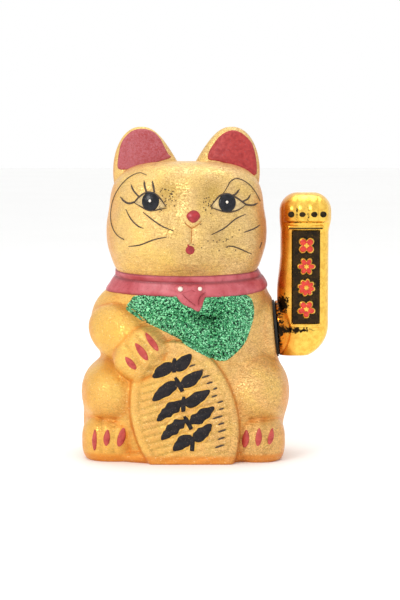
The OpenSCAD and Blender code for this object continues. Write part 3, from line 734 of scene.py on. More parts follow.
earShape = {
    "gap": 2.7,                      # x of the line between the ears
    "rootZ": 160.0, "middleY": 3.0,
    "middle": 20.5, "lean": 6.5,     # the ear's middle at its root, and how far it leans out
    "halfWide": 22.5, "halfThick": 11,
    "dish": 2.0,
}


def earSection(t):
    # at share t of the height: middle m + lean (1 - (1 - t)^1.8), half width w (1 - t^1.3)^0.45
    # and half thickness d (1 - t^1.6)^0.5
    middle = earShape["middle"] + earShape["lean"] * (1 - (1 - t) ** 1.8)
    wide = earShape["halfWide"] * (1 - t ** 1.3) ** 0.45
    return middle, wide, earShape["halfThick"] * (1 - t ** 1.6) ** 0.5


def earDish(t, u):
    # the front of an ear is hollowed, fading in soft steps towards its edges, tip and root
    fade = softStep(1 - t, 0.05, 0.3) * softStep(t, 0.1, 0.4)
    return earShape["dish"] * softStep(1 - np.abs(u), 0.08, 0.5) * fade


def earShare(z, most):
    # share of an ear's height at height z, kept below its very tip
    return np.clip((z - earShape["rootZ"]) / (earTop - earShape["rootZ"]), 0, most)


def earRings(side):
    # a leaning blade: ellipse sections closing to a round tip
    t = 1 - (1 - np.linspace(0, 1, 70)[:-1]) ** 1.6
    a = fullTurn(120)
    middle, wide, thick = (v[:, None] for v in earSection(t))
    x = middle + wide * np.cos(a)
    y = earShape["middleY"] + thick * np.sin(a)
    y = y + np.where(np.sin(a) < 0, earDish(t[:, None], np.cos(a)) * -np.sin(a), 0)
    z = np.repeat((earShape["rootZ"] + (earTop - earShape["rootZ"]) * t)[:, None], len(a), 1)
    return np.stack([earShape["gap"] + side * x, y, z], -1)


def earFront(side):
    # maps a point seen from the front onto that ear: y = middle - d sqrt(1 - u2), off its very edge
    def place(x, z):
        t = earShare(z, 0.985)
        middle, wide, thick = earSection(t)
        u = np.clip((side * (x - earShape["gap"]) - middle) / wide, -0.9, 0.9)
        x = earShape["gap"] + side * (middle + wide * u)
        y = earShape["middleY"] - thick * np.sqrt(1 - u ** 2) + earDish(t, u) * np.sqrt(1 - u ** 2)
        n = np.stack([side * u / wide, -np.sqrt(1 - u ** 2) / thick, 0 * u], -1)
        return np.stack([x, y, z], -1), n / np.linalg.norm(n, axis=-1)[..., None]
    return place


def earGap(p):
    # how far a point stands from either ear, about in millimetres
    t = earShare(p[..., 2], 0.98)
    middle, wide, thick = earSection(t)
    u = (np.abs(p[..., 0] - earShape["gap"]) - middle) / wide
    v = (p[..., 1] - earShape["middleY"]) / thick
    return (np.hypot(u, v) - 1) * np.minimum(wide, thick)


def paintShadeTones(piece, ownEar=False):
    # painted shade in the creases: 1 in the joints between lumps, along the foot and round the ears' roots, and up
    # to half on faces turned to either side; painted shade in the hollows: 1 in the sockets, round the muzzle and
    # in the grooves, and on the coin between its ridges and at the foot of its rim
    p = vertexData(piece, "co") / mm - (figureX, 0, 0)
    g = lumpGap(p, lumps[0])
    creaseShade = np.zeros(len(p))
    for lump in lumps[1:]:
        h = lumpGap(p, lump)
        if lump[5] and lump[0][2] < 100:
            near = np.exp(-np.abs(g - h) / 2.2) * np.exp(-np.maximum(np.maximum(g, h), 0) / 1.6)
            creaseShade = np.maximum(creaseShade, (1.0 if lump[5] < 5 else 0.7) * near)
        g = joined(g, h, lump[5])
    creaseShade = np.maximum(creaseShade, softStep(-p[:, 2], -6.0, -3.6) * 0.8)
    if not ownEar:
        root = np.exp(-np.abs(earGap(p)) / 1.8) * (p[:, 2] > earShape["rootZ"])
        creaseShade = np.maximum(creaseShade, 0.9 * root)
    turned = np.abs(vertexData(piece, "normal")[:, 0])
    # painted shade, half as strong, on faces turned to either side
    creaseShade = np.maximum(creaseShade, 0.5 * softStep(turned, 0.72, 0.99))
    front = softStep(-p[:, 1], 14, 26)
    hollow = sum(hill(p, sx, sz, 8, 8) for sx, sz in face["sockets"])
    hollow = hollow + 0.6 * (hill(p, -8, 134, 6, 7) + hill(p, 20, 134, 6, 7))    # beside the muzzle
    hollow = hollow + 0.5 * hill(p, mouth[0], mouth[1] - 4, 16, 6)
    hollow = hollow + sum(groove(p, a, b, 1.0) for a, b in fingerGrooves) * 0.6
    hollow = hollow + sum(groove(p, (x, 6), (x, 24), 0.8) for x in toeGrooves) * 0.5
    q, rho = onCoinAxes(p)
    bars = softStep(-np.sin(2 * np.pi * q[:, 1] / coin["ridgePitch"]), 0.1, 0.9)
    bars = bars * softStep(-rho, -0.86, -0.76)
    onCoin = softStep(q[:, 2], 3, 6) * softStep(np.abs(q[:, 0]), 4, 12)
    hollow = hollow + onCoin * (0.75 * bars + 0.6 * np.exp(-((rho - 0.83) / 0.02) ** 2))
    storeTone(piece, "creaseShade", creaseShade)
    storeTone(piece, "hollow", hollow * front)


bodySkin = bodyRings(casting["footBevel"], casting["bodyTop"], 226, openFoot=True)
headSkin = bodyRings(casting["headLow"], casting["crownZ"], 70, fan=130)
body = onCasting("castBody", [tubeParts(bodySkin)], goldCat, replaces=("ceramic_body",))
head = onCasting("castHead", [tubeParts(headSkin)], goldCat)
paintShadeTones(body)
paintShadeTones(head)
for name, side in (("earLeft", -1), ("earRight", 1)):
    paintShadeTones(onCasting(name, [tubeParts(earRings(side))], goldCat), ownEar=True)
print("body cast")

# Ears, collar and bib

earPaint = {
    "earPaintLeft": {
        "side": -1, "centre": (-24, 182), "coat": "earRose",
        "outline": [(-37.7, 170.2), (-37.9, 176), (-36.4, 184), (-33.7, 188.8), (-29.4, 192.6),
                    (-24, 193.8), (-18.6, 192.8), (-14.0, 189.5), (-10.8, 183.7), (-8.4, 179.2),
                    (-7.0, 176.6), (-16, 173.8), (-25.6, 171.2), (-32, 169.8)]},
    "earPaintRight": {
        "side": 1, "centre": (32, 181), "coat": "earRed",
        "outline": [(16, 175.7), (16.1, 179.7), (19.4, 185.3), (23.4, 190), (29, 192.8), (34.6, 191.8),
                    (40.3, 187), (43.3, 181.3), (44.9, 173.3), (45, 167.6), (41, 166.4), (34.6, 169.5),
                    (28.2, 172.7), (21, 174.7)]},
}
for name, ear in earPaint.items():
    patch = coat(ear["outline"], ear["centre"], 0.5, rings=24, spans=10, sink=0.8, dome=0.2,
                 points=earFront(ear["side"]))
    onCasting(name, [patch], coats[ear["coat"]])

collar = {
    "top": 110.6, "topTilt": 2.2,      # edge heights, lower at the front
    "low": 98.9, "lowTilt": 3.3,
    "proud": 1.5,
    "fold": 0.66,                      # share of the height where it folds
    "foldDepth": 0.8,
}


def collarRings(sides=300, across=26):
    # a band round the neck: height proud (1 - (2s - 1)^6) less a fold, over the skin
    a = fullTurn(sides)[:, None]
    s = np.linspace(0, 1, across)[None, :]
    high = collar["top"] + collar["topTilt"] * np.sin(a)
    low = collar["low"] + collar["lowTilt"] * np.sin(a) + 0.5 * np.sin(3 * a + 1)
    z = low + (high - low) * s
    a = a + 0 * s
    d = np.stack([np.cos(a), np.sin(a), 0 * a], -1)
    o = spine(z)
    reach = castRays(o, d)
    fold = collar["foldDepth"] * np.exp(-((s - collar["fold"]) / 0.045) ** 2)
    waves = 0.18 * np.sin(5 * a + 3 * s) * (1 - (2 * s - 1) ** 2)
    lift = collar["proud"] * (1 - np.abs(2 * s - 1) ** 6) + 0.15 - fold + waves
    outer = o + (reach + lift)[..., None] * d
    inner = (o + (reach - 0.8)[..., None] * d)[:, ::-1]
    return np.concatenate([outer, inner], 1)


rings = collarRings()
band = (rings.reshape(-1, 3), gridFaces(*rings.shape[:2], True, True).tolist())
collarPiece = onCasting("collar", [band], coats["ribbonPink"])
# painted shade darkens the ribbon in its fold and along both edges; -1 stands for its hidden inner face
share = np.concatenate([np.linspace(0, 1, rings.shape[1] // 2), np.full(rings.shape[1] // 2, -1.0)])
foldShade = (0.9 * np.exp(-((share - collar["fold"]) / 0.07) ** 2) + 0.8 * (share > 0.93)
          + 0.5 * np.exp(-((share - 0.03) / 0.07) ** 2))
storeTone(collarPiece, "fold", np.tile(foldShade, len(rings)))
tailOutline = [(-3.5, 99.5), (-2.2, 95.2), (1.2, 91.6), (5.5, 89.8), (9.9, 87.6), (12.2, 91), (13.6, 95.3),
               (15.5, 98.5), (13, 101.8), (6, 103), (-1, 102)]
bowOutline = [(-4.5, 99.5), (-1, 97.2), (4, 98.4), (7, 99.2), (11, 97.4), (14.8, 98.8), (14, 102.2),
              (9, 103.2), (5, 102.4), (0, 103.2), (-4, 102.2)]
onCasting("collarTail", [coat(tailOutline, (6, 97), 2.3, rings=20, dome=0.55)], coats["ribbonPink"])
onCasting("collarBow", [coat(bowOutline, (5, 100.3), 2.9, rings=20, dome=0.6)], coats["ribbonPink"])
# dark red lines along the bow's creases: painted shade
creases = [[(0.5, 97.6), (3, 95), (8, 91)], [(13, 98), (10.5, 95.6), (9.6, 91.5)]]
onCasting("bowCreaseShade", [stroke(path, 0.5, 2.8, (0.3, 0.3), sink=-1.4) for path in creases],
          coats["ribbonShade"])
beads = []
for x, z, radius in ((-0.5, 100.0, 1.5), (10.6, 100.1, 1.25)):
    at, n = frontPoints(np.array([x]), np.array([z]))
    beads.append(ball(at[0] + n[0] * 3.0, radius))
onCasting("collarBeads", beads, coats["beadWhite"])

bib = {
    "outline": [(-32.5, 89.3), (-29.8, 93.3), (-27, 96.2), (-15, 97), (0, 97), (14, 97.5), (23.7, 98),
                (32, 98), (39.3, 95.8), (41.8, 91.7), (42.5, 86.8), (41.8, 81.9), (39.2, 73.5),
                (36.2, 67.6), (31.1, 62.4), (26.1, 59.1), (20.6, 59.2), (15.7, 61.8), (5.3, 67.3),
                (-0.8, 71.5), (-7.3, 74.9), (-16.2, 79.2), (-22.5, 82), (-28.2, 86)],
    "centre": (17, 84),
    "lift": 0.75,
    "grit": 0.22,
    "rings": 56, "spans": 12,
}
points, faces = coat(bib["outline"], bib["centre"], bib["lift"], bib["rings"], bib["spans"], dome=0.15)
onTop = np.arange(len(points)) < bib["rings"] * bib["spans"] * len(bib["outline"])
grit = bib["grit"] * chance.normal(size=len(points)).clip(-1.5, 1.5)
points = points - np.where(onTop, grit, 0)[:, None] * (0, 1, 0)
onCasting("glitterBib", [(points, faces)], glitter(), smooth=False)
print("collar and bib on")

# Face

eyes = {
    "left": {"iris": face["eyes"][0],
             "white": [(-27.3, 151.4), (-23.8, 154.8), (-19.8, 157), (-15.2, 156), (-11.6, 152.6),
                       (-9.4, 149.2), (-13.5, 147.4), (-18.5, 146.8), (-23.3, 149)],
             "lines": [[(-31, 150.4), (-27.6, 151.2), (-24, 154.8), (-19.8, 157.2), (-15.2, 156.2),
                        (-11.6, 152.8), (-8.8, 148.8)],
                       [(-27.3, 151), (-23.3, 148.8), (-18.5, 146.6), (-13.5, 147.2), (-8.6, 148.2)]]},
    "right": {"iris": face["eyes"][1],
              "white": [(17.1, 149.3), (20, 152.8), (22.9, 155.2), (27, 155.9), (32.1, 153.6),
                        (37.4, 149.9), (32.9, 147), (26.7, 145.9), (21.2, 147.2)],
              "lines": [[(16.8, 148.8), (20, 152.8), (22.9, 155.4), (27, 156.1), (32.1, 153.8),
                         (37.6, 149.9), (41.6, 149.3)],
                        [(17, 148.6), (21.2, 147), (26.7, 145.6), (32.9, 146.8), (37.5, 149.7)]]},
}
irisR = 5.1
whites, irises, glints, lids = [], [], [], []
for eye in eyes.values():
    ix, iz = eye["iris"]
    whites.append(coat(eye["white"], (ix, iz), 0.35, rings=12))
    irises.append(coat(ellipse(ix, iz, irisR, irisR * 1.06, 16), (ix, iz), 1.1, rings=14, dome=0.6))
    glints.append(coat(ellipse(ix - 0.2, iz + 0.3, 0.9, 1.0), (ix - 0.2, iz + 0.3), 1.35, rings=5))
    lids += [stroke(line, w, 0.55, (0.4, 0.4)) for line, w in zip(eye["lines"], (1.15, 0.75))]
onCasting("eyeWhites", whites, coats["eyeCream"])
onCasting("irises", irises, coats["irisBlack"])
onCasting("eyeGlints", glints, coats["beadWhite"])
onCasting("eyeLines", lids, coats["lineBrown"])

lashes = [
    ([(-27.3, 151.4), (-30.7, 150.6), (-33.8, 152.1), (-35.6, 154.2)], 0.95),
    ([(-24.7, 154.6), (-27.9, 158.2), (-29.4, 161.6)], 0.8),
    ([(-20.3, 157.4), (-21.2, 160.5), (-21.7, 164)], 0.9),
    ([(-15.6, 157.2), (-16.2, 160.5), (-17, 164)], 0.9),
    ([(37.5, 149.8), (41.6, 149.3), (44.6, 150.3)], 0.9),
    ([(35.6, 151.6), (38.8, 153.2), (40.2, 155.6)], 0.8),
    ([(29.2, 155), (31.6, 156.2), (33.8, 158.9)], 0.9),
]
onCasting("lashes", [stroke(path, w * 1.25, 0.4, (1.0, 0.25)) for path, w in lashes], coats["lineBrown"])
browLines = [
    [(-20, 166.9), (-24.7, 168.2), (-30.8, 165.4), (-36.2, 159.9), (-40.3, 152.3), (-41.8, 144.1),
     (-40.8, 137), (-37.7, 132), (-33.5, 129.5)],
    [(23.6, 155.4), (26.7, 160.2), (28.8, 163.5), (32.8, 164.9), (38.8, 162), (43, 157.2), (46.2, 151.4)],
]
onCasting("browLines", [stroke(path, 0.6, 0.35, (0.5, 0.9)) for path in browLines], coats["lineBrown"])
whiskers = [
    [(-32.4, 147.1), (-29.3, 141.6), (-25.2, 137.7), (-21.9, 136.4)],
    [(-22.2, 145.7), (-17.2, 141.8), (-11.2, 137.8), (-4.5, 135.2)],
    [(-30.7, 125.6), (-24, 126.7), (-15.8, 129.9), (-8.5, 131.6)],
    [(17.4, 132.9), (24.7, 136.4), (31.4, 141.6), (37.1, 144.1)],
    [(36.4, 133.8), (42.2, 135.6), (46, 137.6)],
    [(26.7, 126.1), (31.4, 125.3), (40.9, 120.8)],
    [(45.8, 124), (47.2, 127.4)],
]
onCasting("whiskers", [stroke(path, 0.75, 0.35, (0.5, 0.5)) for path in whiskers], coats["lineBrown"])
noseEdge = [(-3.9, 0.6), (-2, 3.1), (0.3, 3.8), (2.6, 2.9), (4, 0.4), (2.2, -2.3), (0, -3.3), (-2.3, -2.2)]
onCasting("nose", [coat(np.array(noseEdge) + nose, nose, 1.1, rings=14, dome=0.6)], coats["lipRed"])
mouthDrop = np.array([(-1.4, 3.4), (-0.7, 2)]) + mouth
onCasting("mouth", [coat(ellipse(*mouth, 2.6, 2.5), mouth, 0.7, rings=10), stroke(mouthDrop, 1.0, 0.5)],
          coats["lipRed"])
lipLines = [[(1.8, 140.2), (4, 138), (6.1, 136.7), (8.6, 138), (11.4, 140.4)],
            [(6.1, 136.8), (6.0, 132), (5.8, 128)]]
onCasting("lipLines", [stroke(path, 0.8, 0.3) for path in lipLines], coats["lipOrange"])


def specks(spots, radius):
    # small flat drops of paint, each a six-sided coat
    return [coat(ellipse(x, z, radius * s, radius * (1.7 - s), 6), (x, z), 0.35, rings=3, spans=2)
            for (x, z), s in zip(spots, chance.uniform(0.6, 1.1, len(spots)))]


# middle, spread and count of each cloud of specks; two more lie beside the nose
speckClouds = (((-8.5, 154), (3.0, 3.0), 26), ((-11.5, 149), (1.2, 1.5), 7),
               ((16.5, 150), (2.4, 2.4), 18), ((24, 130), (7, 4), 16))
clouds = [chance.normal(middle, spread, (count, 2)) for middle, spread, count in speckClouds]
speckPlaces = np.concatenate(clouds + [[(2.6, 139.2), (11.2, 139)]])
onCasting("eyeSpecks", specks(speckPlaces, 0.42), coats["lineBrown"])
print("face painted")

# Paws and coin

nails = [
    ([(-20.6, 76.2), (-17.3, 71.6), (-13.4, 66.4)], 3.9),
    ([(-26.4, 70.6), (-23, 66), (-19.4, 61.0)], 4.1),
    ([(-32.2, 62.6), (-29.4, 59.2), (-26.2, 55.6)], 3.9),
    ([(-50.4, 18.8), (-50.8, 13), (-50.7, 6.8)], 3.2),
    ([(-42.9, 19.2), (-43.5, 14.6), (-43.8, 9.8)], 3.8),
    ([(-33.6, 20.2), (-34.9, 14.8), (-36.6, 9.4)], 4.6),
    ([(37.9, 19.2), (37.3, 14), (36.6, 9)], 4.6),
    ([(45.2, 20.4), (44.9, 15.4), (44.3, 10.2)], 3.8),
    ([(52.8, 20), (52.2, 15.6), (50.9, 11)], 3.6),
]
onCasting("nails", [stroke(path, w, 0.7, spans=12, across=11, leaf=1.15) for path, w in nails],
          coats["nailRed"])


def coinFace(u, v):
    # a point on the coin's face, u across it and v along it, seen from the front
    at = np.array(coin["centre"]) + np.array(coin["turn"]) @ np.array([u, v, coin["halfSize"][2]])
    return at[0], at[2]


sprig = {
    "stem": [(-1, -20), (2, -9), (0, 2), (3, 13), (1, 25), (4, 35)],
    "stemW": 2.8,
    "leafW": 7.4,
    # side, foot along the stem, length, rise
    "leaves": [(-1, 31, 14, -4), (1, 28, 12, 6), (-1, 20, 17, -6), (1, 18, 15, 5), (-1, 9, 18, -7),
               (1, 7, 17, 4), (-1, -2, 17, -7), (1, -4, 17, 5), (-1, -12, 13, -5), (1, -14, 13, 6)],
}


def sprigStrokes(grow, lift):
    # a bamboo sprig: a jointed stem, and leaves that leave it in turn to either side
    stem = curveThrough(sprig["stem"], 8)
    out = []
    for cut in np.array_split(np.arange(len(stem)), 5):
        path = [coinFace(*stem[i]) for i in cut[::3]]
        out.append(stroke(path, sprig["stemW"] + grow, lift, (0.9, 0.6), spans=6, across=9))
    for side, foot, length, rise in sprig["leaves"]:
        x = np.interp(foot, stem[:, 1], stem[:, 0])
        path = [coinFace(x + side * length * s, foot + rise * s ** 1.4) for s in (0.02, 0.35, 0.7, 1.0)]
        out.append(stroke(path, sprig["leafW"] + grow, lift, spans=12, across=13, leaf=0.8))
    return out


onCasting("sprigHalo", sprigStrokes(1.8, 0.45), coats["haloGold"])
onCasting("sprig", sprigStrokes(0, 0.9), coats["inkBlack"])
# short strokes of painted shade in the grooves between the ridges, near the coin's right edge
grooveShadeDashes = []
for i in range(19):
    v = -34 + coin["ridgePitch"] * i
    edge = coin["halfSize"][0] * 0.8 * math.sqrt(max(1 - (v / (coin["halfSize"][1] * 0.85)) ** 2, 0))
    u = edge - chance.uniform(0.5, 3.0)
    if u > 10 and v > -22:
        length = chance.uniform(2.5, 6.5)
        path = [coinFace(u - length, v - 0.2), coinFace(u - length / 2, v), coinFace(u, v)]
        grooveShadeDashes.append(stroke(path, 1.1, 0.3, (0.2, 0.5)))
onCasting("coinGrooveShade", grooveShadeDashes, coats["lineBrown"])
print("paws and coin painted")

# Arm: two metallised plastic half shells on the axle, with a dark plaque let into the front

arm = {
    "lowZ": 57.0, "topZ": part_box("arm_rear_shell")[1][2] / mm,
    "left": 58.2, "right": 87.6,
    "deep": 12.5,
    "leftOut": (76, 91, 1.2),      # from this height to that the left edge moves out by so much,
    "leftIn": (96, 121, 2.0),      # and here it moves back in
    "toeIn": (68.5, 11.5, 5.0),    # below this height, over so much, the depth shrinks by so much
    "square": 0.7,                 # 2 / 2.86, how square the section is
    "elbowR": 20.0, "pawR": 11.0,
    "pawLow": 137.5,               # where the paw swells out of the wrist
    "seam": 0.05,                  # half of the gap between the half shells
    "fingers": (64.6, 71.3, 78.2, 83.6),    # their middles
    "fingerHalf": 4.1,
    "fingerHigh": 2.4,
    "recess": (65.4, 81.9, 77.9, 133.9),    # left, right, bottom, top of the let-in plaque
    "recessDeep": 1.7,
    "recessGap": 0.25,             # clearance round the plaque
    "screws": ((73, 67.5), (74.2, 142)),
    "screwHoleR": 2.4,
}


def armSection(z):
    # left edge, right edge and half depth at height z: soft steps, a quarter circle at the elbow
    # and r (1 - sqrt(1 - drop2)) off each side round the top of the paw
    paw = softStep(z, arm["pawLow"] - 6, arm["pawLow"] + 4)
    down = np.maximum(arm["lowZ"] + arm["elbowR"] - z, 0)
    elbow = arm["elbowR"] - np.sqrt(np.maximum(arm["elbowR"] ** 2 - down ** 2, 0))
    right = arm["right"] + 1.5 * paw - elbow
    (outLow, outHigh, out), (inLow, inHigh, back) = arm["leftOut"], arm["leftIn"]
    left = arm["left"] - out * softStep(z, outLow, outHigh) + back * softStep(z, inLow, inHigh) - 0.6 * paw
    toe, reach, shrink = arm["toeIn"]
    toeDown = np.maximum(toe - z, 0) / reach
    deep = arm["deep"] + 1.2 * paw - shrink * (1 - np.sqrt(np.clip(1 - toeDown ** 2, 0, 1)))
    drop = np.clip((z - (arm["topZ"] - arm["pawR"])) / arm["pawR"], 0, 1)
    close = arm["pawR"] * (1 - np.sqrt(1 - drop ** 2))
    return left + close, right - close, deep - close


def armRelief(x, z, y):
    # how far the front moves out: fingers sqrt(1 - off2) on the paw, less the let-in plaque
    front = softStep(-y, 4, 9)
    on = softStep(z, arm["pawLow"] + 0.6, arm["pawLow"] + 2.2)
    offs = [(x - middle) / arm["fingerHalf"] for middle in arm["fingers"]]
    lobes = np.max([np.sqrt(np.clip(1 - off ** 2, 0, 1)) for off in offs], 0)
    high = arm["fingerHigh"] * on * lobes * (1 - 0.5 * softStep(z, 146, 155))
    left, right, low, top = arm["recess"]
    inside = softStep(x, left - 0.3, left + 0.2) * softStep(-x, -right - 0.2, -right + 0.3)
    inside = inside * softStep(z, low - 0.3, low + 0.2) * softStep(-z, -top - 0.2, -top + 0.3)
    return front * (high - arm["recessDeep"] * inside)


def armHalf(side, across=150, levels=300):
    # superellipse sections |x/a|^2.86 + |y/b|^2.86 = 1 up the arm, halved at the seam and closed
    # by a flat face there
    t = np.linspace(0, 1, levels)
    t = 0.02 + 0.9785 * (0.6 * t + 0.4 * (1 - (1 - t) ** 2))
    z = arm["lowZ"] + (arm["topZ"] - arm["lowZ"]) * t
    left, right, deep = (v[:, None] for v in armSection(z))
    a = np.linspace(0, math.pi, across)
    c, s = np.cos(a), np.sin(a)
    x = (right + left) / 2 + (right - left) / 2 * np.sign(c) * np.abs(c) ** arm["square"]
    y = side * deep * np.abs(s) ** arm["square"]
    z = z[:, None] + 0 * x
    if side < 0:
        y = y - armRelief(x, z, y)
    y = np.where(np.abs(y) < arm["seam"], side * arm["seam"], y)
    outer = np.stack([x, y, z], -1)
    u = np.linspace(0, 1, 12)[1:-1, None]
    flat = outer[:, -1:, :] + (outer[:, :1, :] - outer[:, -1:, :]) * u[None]
    return tubeParts(np.concatenate([outer, flat], 1))


def shoulderBoss():
    # the arm's round shoulder, turned about the axle: radius 16.5 at its face, drawn in outwards
    reach = np.array([1.8, 1.8, 2.3, 4.5, 6.5, 8.5, 9.5, 9.5])
    radius = np.array([8.0, 16.0, 16.5, 16.3, 15.2, 13.4, 12.0, 8.0])
    a = fullTurn(160)
    q = np.stack([reach[:, None] + 0 * a, radius[:, None] * np.cos(a), radius[:, None] * np.sin(a)], -1)
    return tubeParts(q @ turnY(-axleTilt).T + (pivotX, 0, pivotZ))


def paintReflectionAndShade(piece):
    # dark painted reflections on the shoulder and low on the arm, in hills, and painted shade between the fingers
    # and along their roots
    p = vertexData(piece, "co") / mm - (figureX, 0, 0)
    reflectionAndShade = 1.1 * hill(p, 60.5, 90, 3.2, 5) + 0.95 * hill(p, 66, 74.6, 11, 2.0)
    reflectionAndShade = reflectionAndShade + 0.9 * hill(p, 57.5, 75, 2.2, 14)
    apart = np.min([np.abs(p[:, 0] - middle) for middle in arm["fingers"]], 0)
    fromMiddle = np.abs(p[:, 0] - sum(arm["fingers"]) / 4)
    between = softStep(apart, 2.3, 3.3) * softStep(p[:, 2], 138, 140) * softStep(-p[:, 2], -151, -145)
    reflectionAndShade = reflectionAndShade + 0.55 * between * (fromMiddle < 8.5)
    reflectionAndShade = reflectionAndShade + 0.42 * np.exp(-((p[:, 2] - 138.6) / 0.5) ** 2) * (fromMiddle < 11)
    storeTone(piece, "reflectionAndShade", reflectionAndShade * softStep(-p[:, 1], 0, 6))


front = onArm("armFront", [armHalf(-1)], "gold_plastic", goldMirror, replaces=("arm_front_shell",))
rear = onArm("armRear", [armHalf(1)], "gold_plastic", goldMirror, replaces=("arm_rear_shell",))
boss = onArm("armBoss", [shoulderBoss()], "gold_plastic", goldMirror)
for piece in (front, rear, boss):
    paintReflectionAndShade(piece)


def plate(x0, x1, z0, z1, y0, y1, corner=1.2, bevel=0.3, sides=8):
    # a flat plate: quarter circles at its corners, the rim drawn in by the bevel in front at y0
    a = np.linspace(0, np.pi / 2, sides)
    quarter = np.stack([np.cos(a), np.sin(a)], -1)
    turns = [(1, 1, x1, z1), (-1, 1, x0, z1), (-1, -1, x0, z0), (1, -1, x1, z0)]
    edge = []
    for i, (sx, sz, cx, cz) in enumerate(turns):
        arc = quarter if i % 2 == 0 else quarter[::-1]
        edge.append(arc * corner * (sx, sz) + (cx - sx * corner, cz - sz * corner))
    edge = np.concatenate(edge)
    middle = np.array([(x0 + x1) / 2, (z0 + z1) / 2])
    inner = middle + (edge - middle) * (1 - bevel / np.abs(edge - middle).max(0))
    rings = [np.insert(inner, 1, y0, 1), np.insert(edge, 1, y0 + bevel, 1), np.insert(edge, 1, y1, 1)]
    return tubeParts(np.array(rings))


trim = {
    # left, right, bottom, top, how proud of the arm's front, back, corner, bevel
    "bars": ((62.6, 84.2, 134.2, 136.9, 0.9, -9.5, 0.9, 0.5),
             (64.6, 82.6, 76.2, 78.2, 0.55, -10, 0.7, 0.4)),
    "lines": ((63.4, 83.4, 134.7, 135.5, 1.05, -11, 0.2, 0.1),),
}


def trimPlates(rows):
    # the plates of one row of the trim table
    return [plate(x0, x1, z0, z1, -arm["deep"] - proud, y1, corner, bevel)
            for x0, x1, z0, z1, proud, y1, corner, bevel in rows]


recessLeft, recessRight, recessLow, recessTop = arm["recess"]
gap = arm["recessGap"]
plaqueY = -arm["deep"] + 0.75
onArm("plaque", [plate(recessLeft + gap, recessRight - gap, recessLow + gap, recessTop - gap,
                       plaqueY, -arm["deep"] + 2.4)],
      "panel_black", coats["plaqueBlack"], smooth=False, replaces=("arm_panel",))
onArm("plaqueBars", trimPlates(trim["bars"]), "gold_plastic", goldMirror)
onArm("plaqueLines", trimPlates(trim["lines"]), "panel_black", coats["plaqueBlack"], smooth=False)


def petals(x, z, count, inner, outer, sharp, turn=0.0, steps=96):
    # radius inner + (outer - inner) |cos(count a / 2)|^sharp round a middle
    a = fullTurn(steps)
    r = inner + (outer - inner) * np.abs(np.cos(count * (a + turn) / 2)) ** sharp
    return np.stack([x + r * np.cos(a), z + r * np.sin(a)], -1)


def raised(outline, centre, y, lift, rings=6):
    # an outline raised off the flat plaque: height lift sqrt(1 - 0.9 r^8) at share r from its centre
    r = np.linspace(0.04, 1, rings)[:, None, None]
    flat = np.array(centre) + r * (outline - np.array(centre))
    height = (lift * np.sqrt(1 - 0.9 * r[..., 0] ** 8)) + 0 * flat[..., 0]
    top = np.stack([flat[..., 0], y - height, flat[..., 1]], -1)
    base = np.stack([flat[-1, :, 0], y + 0.2 + 0 * flat[-1, :, 0], flat[-1, :, 1]], -1)
    return tubeParts(np.concatenate([top, base[None]]))


rosettes = {
    "x": 73.9,
    "z": (124.8, 112.4, 99.8, 87.0),
    # petals, inner radius, outer radius, sharpness, turn
    "shapes": ((4, 2.2, 5.3, 0.8, 0.79), (6, 2.6, 5.3, 0.9, 0.0),
               (8, 3.3, 5.2, 0.7, 0.2), (5, 2.4, 5.4, 0.8, 0.3)),
}
goldParts, redParts = [], []
for z, (count, inner, outer, sharp, turn) in zip(rosettes["z"], rosettes["shapes"]):
    at = (rosettes["x"], z)
    rimEdge = petals(*at, count, inner + 0.8, outer + 0.35, sharp, turn)
    redEdge = petals(*at, count, inner, outer - 0.5, sharp, turn)
    buttonEdge = petals(*at, count, 0.9, 1.7, 1.0, turn + math.pi / count)
    goldParts.append(raised(rimEdge, at, plaqueY, 1.0))
    redParts.append(raised(redEdge, at, plaqueY - 0.8, 0.75))
    goldParts.append(raised(buttonEdge, at, plaqueY - 1.3, 0.7))
onArm("rosetteRims", goldParts, "gold_plastic", goldMirror)
onArm("rosettes", redParts, "panel_black", coats["plaqueRed"])

dotZ = 143.4
dotY = 0.45 - float(armSection(np.array(dotZ + 0.2))[2]) - arm["fingerHigh"]
dots = [raised(ellipse(x, dotZ, 1.9, 1.8, 24), (x, dotZ), dotY, 0.5) for x in arm["fingers"]]
onArm("fingerDots", dots, "panel_black", coats["plaqueBlack"])
print("arm built")

# Round openings of the rear shell, over the screws that hold the halves together
cutters = []
for x, z in arm["screws"]:
    bpy.ops.mesh.primitive_cylinder_add(radius=arm["screwHoleR"] * mm, depth=24 * mm, vertices=48,
                                        location=((x + figureX) * mm, 19 * mm, z * mm),
                                        rotation=(math.pi / 2, 0, 0))
    cutters.append(bpy.context.object)
for cutter in cutters:
    cut = rear.modifiers.new("hole", "BOOLEAN")
    cut.operation = "DIFFERENCE"
    cut.solver = "EXACT"
    cut.object = cutter
bpy.context.view_layer.update()
holed = bpy.data.meshes.new_from_object(rear.evaluated_get(bpy.context.evaluated_depsgraph_get()))
rear.modifiers.clear()
rear.data = holed
for cutter in cutters:
    bpy.data.objects.remove(cutter, do_unlink=True)

# Floor, light and camera

studio = {
    "floorR": 8, "floorSides": 48,
    # place, width, watts
    "keyLight": ((-0.75, -1.1, 0.9), 0.5, 8),
    "topLight": ((0.1, 0.3, 1.3), 0.8, 5),
    "lightTarget": (0, 0, 0.1),
    "lens": 120, "tilt": 5, "distance": 1.2,
    "look": ((figureX + 10.8) * mm, 0, 91.4 * mm),
}

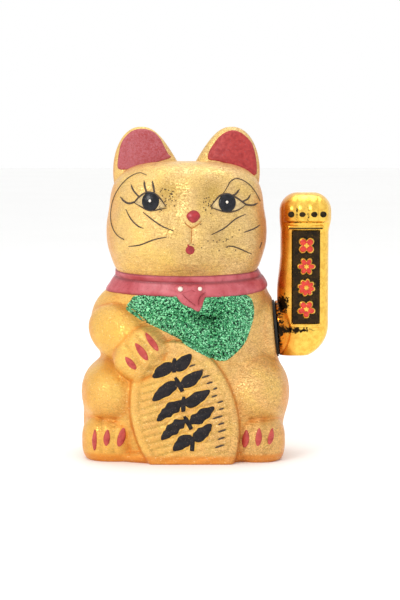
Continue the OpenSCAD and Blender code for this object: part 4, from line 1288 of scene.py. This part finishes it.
# a wide ring, open under the seat so that the underside is lit when it is looked at
sides = studio["floorSides"]
around = fullTurn(sides)
rim = np.stack([np.cos(around), np.sin(around), 0 * around], -1)
inner = rim * openingR * mm + (figureX * mm, 0, 0)
floorMesh = bpy.data.meshes.new("floor")
floorMesh.from_pydata(np.concatenate([inner, rim * studio["floorR"]]).tolist(), [],
                      [(k, sides + k, sides + (k + 1) % sides, (k + 1) % sides) for k in range(sides)])
floor = bpy.data.objects.new("floor", floorMesh)
bpy.context.scene.collection.objects.link(floor)
material, tree, shader, where = newMaterial("paleFloor")
tree.links.new(mixColours(tree, remap(tree, noise(tree, where, 3, 2), 0.3, 0.7), srgb(252, 252, 251),
                          srgb(250, 250, 249)), shader.inputs["Base Color"])
shader.inputs["Roughness"].default_value = 0.6
# clear from below, so that the underside can be looked at
clear = tree.nodes.new("ShaderNodeBsdfTransparent")
either = tree.nodes.new("ShaderNodeMixShader")
tree.links.new(tree.nodes.new("ShaderNodeNewGeometry").outputs["Backfacing"], either.inputs[0])
tree.links.new(shader.outputs[0], either.inputs[1])
tree.links.new(clear.outputs[0], either.inputs[2])
tree.links.new(either.outputs[0], tree.nodes["Material Output"].inputs["Surface"])
floorMesh.materials.append(material)

for name in ("keyLight", "topLight"):
    # a square soft light turned towards its target
    place, width, watts = studio[name]
    lamp = bpy.data.lights.new(name, "AREA")
    lamp.shape = "SQUARE"
    lamp.size = width
    lamp.energy = watts
    holder = bpy.data.objects.new(name, lamp)
    holder.location = place
    towards = Vector(studio["lightTarget"]) - Vector(place)
    holder.rotation_euler = towards.to_track_quat("-Z", "Y").to_euler()
    bpy.context.scene.collection.objects.link(holder)

world = bpy.data.worlds.new("studio")
world.use_nodes = True
background = world.node_tree.nodes["Background"]
background.inputs["Color"].default_value = (1, 1, 1, 1)
background.inputs["Strength"].default_value = 1.0
bpy.context.scene.world = world
bpy.context.scene.view_settings.view_transform = "Standard"

lens = bpy.data.cameras.new("camera")
lens.lens = studio["lens"]
camera = bpy.data.objects.new("camera", lens)
bpy.context.scene.collection.objects.link(camera)
tilt, far = math.radians(studio["tilt"]), studio["distance"]
camera.location = Vector(studio["look"]) + Vector((0, -far * math.cos(tilt), far * math.sin(tilt)))
camera.rotation_euler = (math.pi / 2 - tilt, 0, 0)
bpy.context.scene.camera = camera
print("studio ready")
